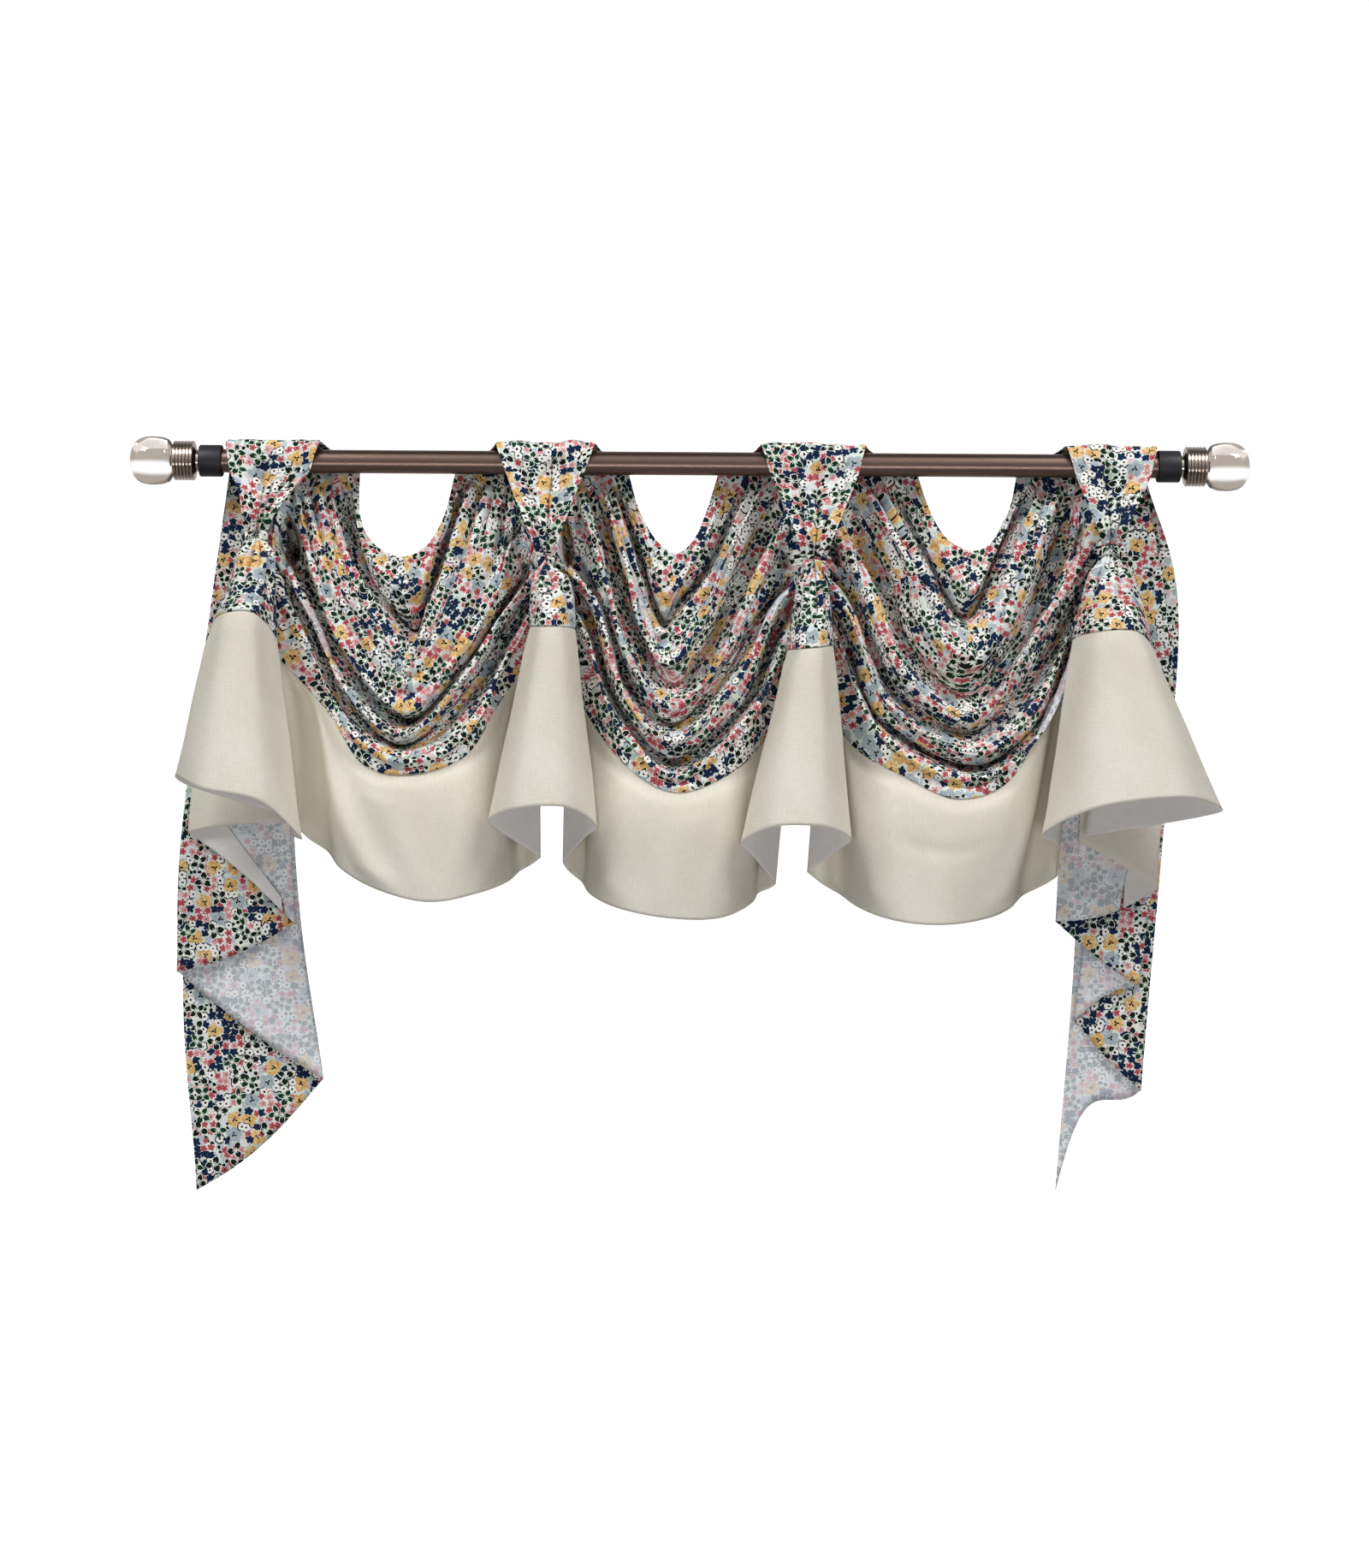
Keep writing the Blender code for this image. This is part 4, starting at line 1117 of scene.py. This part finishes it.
def mitred(faces, points):
    """Where the print would jump inside a face, the face goes on with the print of its left neighbour."""
    places = by_face(points)
    torn = np.zeros(faces.shape[:2], bool)
    for axis in (2, 3):
        drawn = np.linalg.norm(np.diff(faces, axis=axis), axis=-1)
        real = np.linalg.norm(np.diff(places, axis=axis), axis=-1)
        torn |= (drawn > MOST_STRETCH * real + STRETCH_SLACK).any(axis=(2, 3))
    corner = faces[:, :, :1, :1]
    offsets = faces - corner
    for column in range(1, faces.shape[1]):
        rows = torn[:, column]
        offsets[rows, column] = offsets[rows, column - 1]
    return corner + offsets


def swag_strips(number, points):
    """The flat places of a swag's faces, one strip of print to each fold."""
    depth = np.array([fold[8] for fold in SWAG_FOLDS[number]])
    bounds = [0, *swag_valleys(number), len(depth) - 1]
    down = arc(points, 0)
    faces = []
    for strip, (first, last) in enumerate(zip(bounds, bounds[1:])):
        crest = first + int(np.argmin(depth[first:last + 1]))
        rows = np.arange(first * ROWS_PER_FOLD, last * ROWS_PER_FOLD + 1)
        line = points[crest * ROWS_PER_FOLD]
        run = np.gradient(line, axis=0)
        run /= np.linalg.norm(run, axis=1)[:, None]
        along = np.pad(np.cumsum(np.linalg.norm(np.diff(line, axis=0), axis=1)), (1, 0))
        part = points[rows]
        nearest = np.argmin(np.linalg.norm(part[:, :, None] - line[None, None], axis=3), axis=2)
        off = part - line[nearest]
        ahead = (off * run[nearest]).sum(axis=2)
        aside = np.linalg.norm(off - ahead[:, :, None] * run[nearest], axis=2)
        straight = np.linalg.norm(part - line[None], axis=2)
        walked = np.abs(down[rows] - down[crest * ROWS_PER_FOLD])
        longer = np.clip(walked / np.maximum(straight, TINY), 1.0, MOST_SLACK)
        sign = np.sign(crest * ROWS_PER_FOLD - rows)[:, None]
        flat = np.stack([along[nearest] + ahead, sign * aside * longer - STRIP_SPACING * strip], axis=2)
        faces.append(mitred(by_face(flat + np.array((SWAG_SPACING * number, 0.0))), part))
    return np.concatenate(faces)


for number, points in swag_prints.items():
    cloth(f"swag_{number}_print", points, swag_strips(number, points), PRINT)

# %% [markdown]
# ## The cream bands of the swags
#
# The band is a plain cotton strip cut to the swag's curve and sewn to the print. It has no gathers of its
# own: it hangs from the seam and keeps a few long, soft folds that run down from the necks of the horns.
# Each one is a row in a table, a soft ridge or trough along a slanting line.

# %% Swag bands
BAND_SEAM_GAP = 0.3
BAND_FINE_ROWS = 41
# Soft folds of each band: from (share across, share down) to (share across, share down), height in
# millimetres with a trough below zero, and half width as a share of the width
BAND_CREASES = {
    1: [((0.06, -0.2), (0.15, 1.1), -18.0, 0.06), ((0.14, 0.0), (0.38, 1.0), 9.0, 0.06),
        ((0.95, -0.2), (0.87, 1.1), -17.0, 0.06), ((0.88, 0.0), (0.70, 1.0), 4.0, 0.06),
        ((0.40, 0.2), (0.52, 1.0), 2.0, 0.06)],
    2: [((0.06, -0.2), (0.14, 1.1), -17.0, 0.06), ((0.13, 0.0), (0.32, 1.0), 7.0, 0.06),
        ((0.95, -0.2), (0.87, 1.1), -17.0, 0.06), ((0.88, 0.0), (0.70, 1.0), 4.0, 0.06),
        ((0.55, 0.2), (0.47, 1.0), 2.0, 0.06)],
    3: [((0.06, -0.2), (0.14, 1.1), -17.0, 0.06), ((0.13, 0.0), (0.30, 1.0), 7.0, 0.06),
        ((0.95, -0.2), (0.87, 1.1), -18.0, 0.06), ((0.88, 0.0), (0.70, 1.0), 5.0, 0.06),
        ((0.35, 0.45), (0.62, 0.40), -1.5, 0.06)],
}
CREASE_START = (0.12, 0.5)  # how gently a soft fold begins, and how far it has risen at its first point
CREASE_END = (0.25, 0.3)
BAND_WAVE = 1.1
BAND_WAVES = (5, 1.6)
BAND_BELLY = 8.0
BELLY_HEIGHT = 0.6
BAND_SIDE_FADE = 0.07
BAND_TOP_FADE = 0.12


def creased(across, down, creases):
    """The heights of soft folds along slanting lines, as a grid."""
    u, v = across[None, :], down[:, None]
    heights = np.zeros((len(down), len(across)))
    for (u0, v0), (u1, v1), height, width in creases:
        run = np.array((u1 - u0, v1 - v0))
        length = np.hypot(*run)
        ahead = ((u - u0) * run[0] + (v - v0) * run[1]) / length
        aside = ((u - u0) * run[1] - (v - v0) * run[0]) / length
        (begins, risen), (fades, left) = CREASE_START, CREASE_END
        ends = ease(ahead / begins + risen) * ease((length - ahead) / fades + left)
        heights += height * ends * np.exp(-(aside / width) ** 2)
    return heights


def between_rows(start, end, rows):
    share = np.linspace(0, 1, rows)[:, None, None]
    return start[None] + (end - start)[None] * share


def swag_band_points(number, seam):
    across = np.linspace(0, 1, SWAG_COLUMNS)
    down = np.linspace(0, 1, BAND_FINE_ROWS)
    hem = spline([(x, y, z) for (x, z), y in zip(BAND_HEMS[number], BAND_HEM_Y)], across) * MM
    hem = inset_ends(hem[None])[0]
    fall = (hem - seam) / np.linalg.norm(hem - seam, axis=1)[:, None]
    points = between_rows(seam + fall * BAND_SEAM_GAP * MM, hem, BAND_FINE_ROWS)
    u, v = across[None, :], down[:, None]
    fade = ease(np.minimum(u, 1 - u) / BAND_SIDE_FADE) * ease(v / BAND_TOP_FADE)
    wave = BAND_WAVE * noise_field(u * BAND_WAVES[0], v * BAND_WAVES[1], "band", number)
    belly = BAND_BELLY * np.sin(math.pi * v**BELLY_HEIGHT) * np.sin(math.pi * u)
    return raised(points, (creased(across, down, BAND_CREASES[number]) + wave + belly) * fade)


for number in SWAG_FOLDS:
    points = swag_band_points(number, swag_prints[number][-1])
    cloth(f"swag_{number}_band", sewn_below(points), by_face(laid_flat(points)), CREAM_COTTON)

# %% [markdown]
# ## The straps
#
# Each strap is a short tab that is sewn to the back of the heading, comes up over the rod and is pinched
# in front. It lies nearly smooth over the rod, narrows in a straight V and closes up sharply in pleats at
# the pinch, where its end overlaps the top of the horn.

# %% Straps
STRAP_COLUMNS = 97
STRAP_FINE_ROWS = 97
STRAP_APEX = 0.03
STRAP_PRINT_START = (0.4, 1.3)
# Heights in millimetres, how many waves across and down, and where on the strap: centre and half width
# down it.
STRAP_RIPPLE = (1.5, (6, 2.5))
STRAP_HEAVE = (1.5, (3, 1.5), (0.36, 0.15))
STRAP_BEND = (5.0, (0.82, 0.12))
STRAP_CRUMPLE = (4.0, (3.5, 4), 0.2)
CRUMPLE_START = 0.35
CRUMPLE_GROWTH = 0.35
RIPPLE_START = 0.1
STRAP_SIDE_FADE = 0.03
# From the end behind the rod up over it and down to the pinch: how far back (y), how high (z), and how
# much of the pinch's depth below the rod comes on top of that.
STRAP_RUN = [(17.6, -7, 0), (17.6, 4, 0), (12.5, 16.5, 0), (0, 20.5, 0), (-12.5, 17, 0), (-18, 4, 0),
             (-19.5, -14, 0), (-25, -4, 0.4), (-33, -2, 0.78), (-27, -4, 1)]
PINCH_ROUNDING = 5.0
# The pleats of each strap, as sharp valleys: share across on the rod and at the pinch, where they start
# as a share of the way down, and depth in millimetres.
STRAP_VALLEYS = {
    1: [(0.36, 0.48, 0.50, 12), (0.70, 0.78, 0.54, 8), (0.20, 0.30, 0.60, 6), (0.56, 0.62, 0.62, 6)],
    2: [(0.58, 0.58, 0.50, 12), (0.24, 0.26, 0.54, 8), (0.42, 0.42, 0.62, 6), (0.74, 0.74, 0.60, 6)],
    3: [(0.54, 0.55, 0.50, 12), (0.26, 0.24, 0.56, 8), (0.42, 0.40, 0.64, 6), (0.72, 0.74, 0.58, 6)],
    4: [(0.44, 0.42, 0.50, 12), (0.74, 0.72, 0.56, 8), (0.24, 0.25, 0.60, 6), (0.58, 0.56, 0.64, 6)],
}
VALLEY_REACH = 0.08
VALLEY_GROWTH = 0.22
VALLEY_LEAD = 0.1  # how much earlier than its depth a valley's swerve begins
# Heights at which the straps' edges are given: behind the rod, and under and on top of it
BACK_HEIGHTS = (4, 20.5)
FRONT_HEIGHTS = (-15, 20.5)


def strap_edges(number, y, z):
    """Where a strap's two edges lie: a straight V in front, and a little wider behind the rod."""
    edges = STRAPS[number]
    if y > 0:
        heights, names = BACK_HEIGHTS, ("back", "top")
    else:
        heights = (edges["low"], edges["low"] / 2, *FRONT_HEIGHTS)
        names = ("gather", "middle", "under", "top")
    return [np.interp(z, heights, [edges[name][side] for name in names]) for side in (0, 1)]


def strap_points(number):
    """A tab that lies smooth over the rod and closes up in sharp pleats at the pinch."""
    share = np.linspace(0, 1, STRAP_COLUMNS)
    rows = []
    for y, level, depth in STRAP_RUN:
        z = level + depth * STRAPS[number]["low"]
        left, right = strap_edges(number, y, z)
        rounding = PINCH_ROUNDING * depth * (1 - (2 * share - 1) ** 2)
        level_row = np.full(STRAP_COLUMNS, z)
        rows.append(np.stack([left + (right - left) * share, y - rounding, level_row], axis=1))
    points = spline(rows, np.linspace(0, 1, STRAP_FINE_ROWS)) * MM
    u, v = share[None, :], np.linspace(0, 1, STRAP_FINE_ROWS)[:, None]
    height, (across, down) = STRAP_RIPPLE
    heights = height * noise_field(u * across, v * down, "strap", number) * ease(v / RIPPLE_START)
    height, (across, down), spot = STRAP_HEAVE
    heights += height * (1 + noise_field(u * across, v * down, "heave", number)) * hump(v, *spot)
    # Below the rod the strap swells a little towards the room, and the pinch draws it in again.
    height, spot = STRAP_BEND
    heights += height * np.sin(math.pi * u) * hump(v, *spot)
    height, (across, down), softness = STRAP_CRUMPLE
    crumple = height * puckers(u * across, v * down, "crumple", number, softness)
    heights += crumple * ease((v - CRUMPLE_START) / CRUMPLE_GROWTH)
    for on_rod, at_pinch, begin, depth in STRAP_VALLEYS[number]:
        swerve = ease((v - begin + VALLEY_LEAD) / (1 + VALLEY_LEAD - begin))
        line = on_rod + (at_pinch - on_rod) * swerve
        heights -= depth * ease((v - begin) / VALLEY_GROWTH) * np.exp(-np.abs(u - line) / VALLEY_REACH)
    return raised(points, heights * ease(np.minimum(u, 1 - u) / STRAP_SIDE_FADE))


strap_ends = {}
for number in STRAPS:
    points = strap_points(number)
    strap_ends[number] = points[-1]
    over_rod = STRAP_FINE_ROWS // 2
    start = (STRAP_PRINT_START[0] * number, STRAP_PRINT_START[1])
    flat = fanned_flat(points[::-1], over_rod, STRAP_APEX, start)[::-1]
    cloth(f"strap_{number}", points, by_face(flat * (1, -1)), PRINT_ON_BOTH_SIDES)

# %% [markdown]
# ## The horns
#
# A horn is a cone of cloth: pinched flat at the gather, it opens downwards like half a trumpet. It is
# lofted through four sections. Its top follows the end of the strap, valley for valley, so that the
# pleats seem to run through the pinch. They go some way down into the print and melt away, because the
# cone takes up the spare cloth.

# %% Horns
HORN_COLUMNS = 113
HORN_PRINT_ROWS = 41
HORN_BAND_ROWS = 49
# The gather's pleats, as sharp valleys: share across at the gather and at the seam, how far down they
# reach as a share of the print, and depth in millimetres.
HORN_VALLEYS = {
    1: [(0.40, 0.38, 0.7, 8.0), (0.47, 0.47, 1.0, 9.0), (0.56, 0.58, 0.7, 7.0), (0.63, 0.66, 1.0, 9.0)],
    2: [(0.36, 0.35, 0.9, 8.0), (0.44, 0.42, 0.6, 7.0), (0.52, 0.51, 0.9, 9.0), (0.61, 0.64, 1.0, 9.0)],
    3: [(0.37, 0.36, 0.8, 8.0), (0.46, 0.44, 0.7, 7.0), (0.55, 0.54, 1.0, 10.0), (0.63, 0.66, 0.8, 8.0)],
    4: [(0.38, 0.37, 0.8, 8.0), (0.45, 0.46, 0.6, 8.0), (0.54, 0.53, 1.0, 10.0), (0.62, 0.64, 0.8, 8.0)],
}
HORN_SIDE_FADE = 0.08
HORN_VALLEY_WIDTHS = (0.012, 0.008)  # at the gather, and how much more at the seam
HORN_VALLEY_FADE = 0.7
HORN_VALLEY_START = (0.1, 0.25)
HORN_VALLEY_SWERVE = 0.01
HORN_VALLEY_SWERVES = 4
PINCH_GAP = 0.4
PINCH_REACH = 0.35
SIDE_TURN = 0.7  # how much the points next to a neck take over from the side of the horn
HORN_CREASES = {
    1: [((0.30, 0.1), (0.36, 1.0), 2.5, 0.05), ((0.62, 0.0), (0.70, 1.0), -3.0, 0.06)],
    2: [((0.36, 0.0), (0.30, 1.0), -2.0, 0.05), ((0.60, 0.1), (0.66, 1.0), 2.0, 0.05)],
    3: [((0.40, 0.1), (0.34, 1.0), 2.0, 0.05), ((0.62, 0.0), (0.68, 1.0), -2.0, 0.05)],
    4: [((0.34, 0.0), (0.28, 1.0), -3.0, 0.06), ((0.58, 0.1), (0.62, 1.0), 2.5, 0.05)],
}
HORN_WAVE = 1.0
HORN_PRINT_WAVES = (5, 2)
HORN_PRINT_FADES = (0.1, 0.3)
HORN_BAND_WAVES = (4, 2)
HORN_APEX = 0.02
HORN_PRINT_START = (0.3, 0.7)
# How far down the neck the gather, the middle of the print, the seam and the hem are
SECTION_PLACES = (0.0, 0.25, 0.5, 1.0)


def horn_section(number, row, down):
    """The points of one section, from the left neck round the front to the right neck."""
    z_left, z_front_l, z_front_r, z_right, x_left, x_right, y_side, y_front = row
    neck_l = spline(NECKS[number]["left"], [down])[0]
    neck_r = spline(NECKS[number]["right"], [down])[0]
    width = x_right - x_left
    (y_l, z_l), (y_r, z_r) = (
        (SIDE_TURN * y_side + (1 - SIDE_TURN) * neck[1], SIDE_TURN * z_side + (1 - SIDE_TURN) * neck[2])
        for z_side, neck in ((z_left, neck_l), (z_right, neck_r))
    )
    return [neck_l, (x_left + SHOULDER_INSET * width, y_l, z_l), (x_left, y_side, z_left),
            (x_left + FRONT_INSET * width, y_front, z_front_l),
            (x_right - FRONT_INSET * width, y_front, z_front_r), (x_right, y_side, z_right),
            (x_right - SHOULDER_INSET * width, y_r, z_r), neck_r]


def horn_points(number):
    """The print and the band of a horn, as two grids that meet at the seam."""
    across = np.linspace(0, 1, HORN_COLUMNS)
    gather, middle, seam, hem = (
        spline(horn_section(number, row, down), across) * MM
        for row, down in zip(HORN_SECTIONS[number], SECTION_PLACES)
    )
    upper = spline([gather, middle, seam], np.linspace(0, 1, HORN_PRINT_ROWS))
    fall = (hem - seam) / np.linalg.norm(hem - seam, axis=1)[:, None]
    lower = between_rows(seam + fall * BAND_SEAM_GAP * MM, hem, HORN_BAND_ROWS)
    u = across[None, :]
    edge = ease(np.minimum(u, 1 - u) / HORN_SIDE_FADE)
    v = np.linspace(0, 1, HORN_PRINT_ROWS)[:, None]
    waves = HORN_WAVE * noise_field(u * HORN_PRINT_WAVES[0], v * HORN_PRINT_WAVES[1], "horn", number)
    pleats = waves * ease(v / HORN_PRINT_FADES[0]) * ease((1 - v) / HORN_PRINT_FADES[1])
    for at_gather, at_seam, reach, depth in HORN_VALLEYS[number]:
        swerve = HORN_VALLEY_SWERVE * noise_field(v * HORN_VALLEY_SWERVES, depth, "gather", number)
        line = at_gather + (at_seam - at_gather) * v + swerve
        begins, grown = HORN_VALLEY_START
        fall = ease((reach - v) / (HORN_VALLEY_FADE * reach)) * ease((v + begins) / grown)
        half_width = HORN_VALLEY_WIDTHS[0] + HORN_VALLEY_WIDTHS[1] * v
        pleats = pleats - depth * fall * np.exp(-np.abs(u - line) / half_width)
    upper = raised(upper, pleats * edge)
    pinch = spline(strap_ends[number], across) - np.array((0, 0, PINCH_GAP * MM))
    at_pinch = (1 - ease(v / PINCH_REACH))[:, :, None]
    sweep = np.array((0, 0, 1)) * (upper[:, :, 2:] - upper[:1, :, 2:])
    upper += at_pinch * (pinch[None] + sweep - upper)
    v = np.linspace(0, 1, HORN_BAND_ROWS)[:, None]
    waves = noise_field(u * HORN_BAND_WAVES[0], v * HORN_BAND_WAVES[1], "horn_band", number)
    heights = creased(across, v[:, 0], HORN_CREASES[number]) + HORN_WAVE * waves
    return upper, raised(lower, heights * edge * ease(v / BAND_TOP_FADE))


for number in HORN_SECTIONS:
    upper, lower = horn_points(number)
    start = (HORN_PRINT_START[0] * number, HORN_PRINT_START[1])
    cloth(f"horn_{number}_print", upper, by_face(fanned_flat(upper, -1, HORN_APEX, start)), PRINT)
    cloth(f"horn_{number}_band", sewn_below(lower), by_face(laid_flat(lower)), CREAM_COTTON)

# %% [markdown]
# ## The tails
#
# A tail is one long piece folded in a zigzag, so that its slanting hem falls in steps and each second
# step shows the wrong side of the print. The layers hang almost flat behind each other and turn round
# softly at their edges.

# %% Tails
TAIL_LAYER_COLUMNS = 25
TAIL_TURN_STEPS = 6
TAIL_TURN_RADIUS = 4.0
TAIL_PRINT_ROWS = 61
TAIL_LOWER_ROWS = 21
TAIL_WAVE = 1.3
TAIL_WAVES = (18, 5)  # to a metre, across and down
TAIL_WAVE_START = 0.15
TAIL_SEAM_GAP = 0.8
LAYER_SPACING = (0.37, 0.11)  # metres of pattern between one layer's print and the next, across and down


def tail_columns():
    """A layer's columns: degrees round its turn, share of the straight, and whether from its far side."""
    turn = [(90 * k / TAIL_TURN_STEPS, 0, False) for k in range(TAIL_TURN_STEPS)]
    straight = [(90, k / TAIL_LAYER_COLUMNS, False) for k in range(TAIL_LAYER_COLUMNS)]
    return turn + straight + [(90 - turned, 0, True) for turned, _, _ in turn] + [(0, 0, True)]


def tail_lines(number):
    """Every column of a tail before the band is cut from it: its place, and its points from rod to hem."""
    lines = np.array(TAILS[number], float)
    places, columns = [], []
    for layer in range(len(lines) - 1):
        near, far = lines[layer], lines[layer + 1]
        level = (near[:, 1] + far[:, 1]) / 2
        away = np.sign(far[-1, 0] - near[-1, 0])
        last = layer == len(lines) - 2
        for turned, straight, from_far in tail_columns() if last else tail_columns()[:-1]:
            start, end = (far, near) if from_far else (near, far)
            along = -away if from_far else away
            angle = math.radians(turned)
            line = start.copy()
            line[:, 0] += along * TAIL_TURN_RADIUS * (1 - math.cos(angle))
            line[:, 0] += straight * (end[:, 0] - start[:, 0] - 2 * along * TAIL_TURN_RADIUS)
            free = (layer == 0 and not from_far) or (last and from_far)
            line[:, 1] = level if free else start[:, 1] + (level - start[:, 1]) * math.sin(angle)
            sideways = (line[-1, 0] - near[-1, 0]) / (far[-1, 0] - near[-1, 0])
            line[:, 2] = near[:, 2] + (far[:, 2] - near[:, 2]) * sideways
            later = TAIL_HOOK if last and number == 2 else 1.0
            line[-1, 2] -= TAIL_HEM_BOWS[number][layer] * math.sin(math.pi * sideways ** later)
            places.append(layer + sideways)
            columns.append(line)
    return np.array(places), columns


def tail_points(number):
    """The print and the cream end of a tail, as two grids."""
    places, columns = tail_lines(number)
    seam = TAIL_BAND_SEAMS[number]
    cuts = np.interp(places, [place for place, _ in seam], [z for _, z in seam])
    banded = (places >= seam[0][0]) & (places <= seam[-1][0])
    upper, lower = [], []
    for index, line in enumerate(columns):
        top, hem = line[0][2], line[-1][2]
        middle = (top - line[1][2]) / (top - hem)
        end = (top - cuts[index]) / (top - hem) if banded[index] else 1.0
        start = end + TAIL_SEAM_GAP / (top - hem)
        spans = [(upper, 0, end, TAIL_PRINT_ROWS)] + [(lower, start, 1, TAIL_LOWER_ROWS)] * banded[index]
        for grid, first, final, rows in spans:
            shares = np.interp(np.linspace(first, final, rows), [0, middle, 1], [0, 0.5, 1])
            grid.append(spline(line, shares))
    grids = [np.swapaxes(np.array(grid), 0, 1) * MM for grid in (upper, lower)]
    for grid in grids:
        across, down = (grid[:, :, axis] * waves for axis, waves in zip((0, 2), TAIL_WAVES))
        ripple = noise_field(across, down, "tail", number)
        grid[:, :, 1] += TAIL_WAVE * MM * ripple * ease(-grid[:, :, 2] / TAIL_WAVE_START)
    return *grids, places, banded


def tail_flat(points, places):
    """The print's place on each layer of a tail. It changes inside the turns, where no one sees it."""
    faces = []
    layer_of = np.floor(places[:-1] / 2 + places[1:] / 2).astype(int)
    for layer in np.unique(layer_of):
        columns = np.flatnonzero(layer_of == layer)
        part = points[:, columns[0]:columns[-1] + 2]
        side = np.sign(part[-1, -1, 0] - part[-1, 0, 0])
        shift = np.array(LAYER_SPACING) * layer
        faces.append(by_face(np.stack([side * part[:, :, 0] + shift[0], part[:, :, 2] + shift[1]], axis=2)))
    return np.concatenate(faces, axis=1)


for number in TAILS:
    upper, lower, places, banded = tail_points(number)
    cloth(f"tail_{number}_print", upper, tail_flat(upper, places), PRINT)
    cloth(f"tail_{number}_band", lower, tail_flat(lower, places[banded]), CREAM_COTTON)

# %% [markdown]
# ## The rod and its ends
#
# The rod, the dark sleeves, the necks and the knobs are all turned about one axis, so each is a profile
# spun round the rod's axis. A lathe would leave the rings rounded, so their profile is a row of round
# humps. The knob is a solid ball of clear glass that flattens towards its end, bored for the neck's
# spigot.

# %% Turning
SPIN_STEPS = 72
WELD_DISTANCE = 0.001 * MM
SHARP_ANGLE = math.radians(35)
MOST_VERTS = 8000


def place_in_order(face):
    """A number that is made of the numbers of a face's corners."""
    place = 0
    for index in sorted(vert.index for vert in face.verts):
        place = place * MOST_VERTS + index
    return place


def turned(name, profile, finish, node, slot, closed):
    """A piece spun about the rod's axis from a profile of (x, radius) in millimetres."""
    shape = bmesh.new()
    corners = [shape.verts.new((x * MM, 0, radius * MM)) for x, radius in profile]
    pairs = list(zip(corners, corners[1:])) + ([(corners[-1], corners[0])] if closed else [])
    for first, second in pairs:
        shape.edges.new((first, second))
    bmesh.ops.spin(shape, geom=shape.verts[:] + shape.edges[:], axis=(1, 0, 0), cent=(0, 0, 0),
                   dvec=(0, 0, 0), angle=FULL_TURN, steps=SPIN_STEPS, use_merge=True, use_duplicate=False)
    bmesh.ops.remove_doubles(shape, verts=shape.verts, dist=WELD_DISTANCE)
    bmesh.ops.recalc_face_normals(shape, faces=shape.faces)
    # A spin makes its faces in another order on each run, so they are sorted.
    shape.verts.index_update()
    shape.faces.sort(key=place_in_order)
    piece = finished(shape, name, [finish], node)
    piece.data.set_sharp_from_angle(angle=SHARP_ANGLE)


# %% The profiles of the hard parts
ROD_RADIUS = 12.5
ROD_HALF_LENGTH = 523.0
BORE_GAP = 0.3
SLEEVE_INNER_X = 500.5
SLEEVE_OUTER_X = 524.5
SLEEVE_RADIUS = 17.0
SLEEVE_ROUNDING = 1.2
SPIGOT_RADIUS = 5.0
NECK_RINGS = 6
FIRST_RING_X = 530.0
RING_PITCH = 22.0 / 6
RING_CREST = 21.3
RING_VALLEY = 19.7
RING_STEPS = 12
RING_FULLNESS = 0.6
ROUNDING_STEPS = 4
NECK_INNER_END = [(523.6, 0), (523.6, 11.0), (524.0, 11.5), (527.6, 11.5), (528.4, 12.4), (529.4, 16.5)]
NECK_OUTER_END = [(552.4, 12), (552.6, SPIGOT_RADIUS), (562, SPIGOT_RADIUS), (562, 0)]
KNOB_BORE = [(562.4, 0), (562.4, SPIGOT_RADIUS + BORE_GAP), (553, SPIGOT_RADIUS + BORE_GAP)]
KNOB_CURVE = [(553, 15), (557, 22), (564, 25), (574, 26), (584, 25), (592, 21), (597, 13),
              (599, 5), (599, 0)]
KNOB_STEPS = 41


def sleeve_corner(end, inward, start):
    """The rounded corner at one end of a sleeve, from 90 degrees beyond the starting angle back to it."""
    x, radius, size = end + inward * SLEEVE_ROUNDING, SLEEVE_RADIUS - SLEEVE_ROUNDING, SLEEVE_ROUNDING
    turns = [math.radians(start + 90 * k / ROUNDING_STEPS) for k in range(ROUNDING_STEPS, -1, -1)]
    return [(x + size * math.cos(turn), radius + size * math.sin(turn)) for turn in turns]


def ring_profile():
    """The rounded rings of a neck, from its inner end outwards."""
    points = []
    for ring in range(NECK_RINGS):
        for step in range(RING_STEPS):
            x = FIRST_RING_X + (ring + step / RING_STEPS) * RING_PITCH
            rise = math.sin(math.pi * step / RING_STEPS) ** RING_FULLNESS
            points.append((x, RING_VALLEY + (RING_CREST - RING_VALLEY) * rise))
    return points + [(FIRST_RING_X + NECK_RINGS * RING_PITCH, RING_VALLEY)]


ROD = [(-ROD_HALF_LENGTH, 0), (-ROD_HALF_LENGTH, ROD_RADIUS),
       (ROD_HALF_LENGTH, ROD_RADIUS), (ROD_HALF_LENGTH, 0)]
SLEEVE = [(SLEEVE_INNER_X, ROD_RADIUS + BORE_GAP), *sleeve_corner(SLEEVE_INNER_X, 1, 90),
          *sleeve_corner(SLEEVE_OUTER_X, -1, 0), (SLEEVE_OUTER_X, ROD_RADIUS + BORE_GAP)]
NECK = NECK_INNER_END + ring_profile() + NECK_OUTER_END
KNOB = KNOB_BORE + [tuple(point) for point in spline(KNOB_CURVE, np.linspace(0, 1, KNOB_STEPS))]

# %% Turned pieces
turned("rod_tube", ROD, BRONZE, "rod", "bronze", False)
for side, word in ((-1, "left"), (1, "right")):
    for name, profile, finish, slot, closed in (("sleeve", SLEEVE, DARK_SLEEVE, "dark_sleeve", True),
                                                ("finial_neck", NECK, NICKEL, "nickel", False),
                                                ("finial_knob", KNOB, GLASS, "clear_glass", False)):
        outline = [(side * x, radius) for x, radius in profile]
        turned(f"{name}_{word}_turned", outline, finish, f"{name}_{word}", slot, closed)
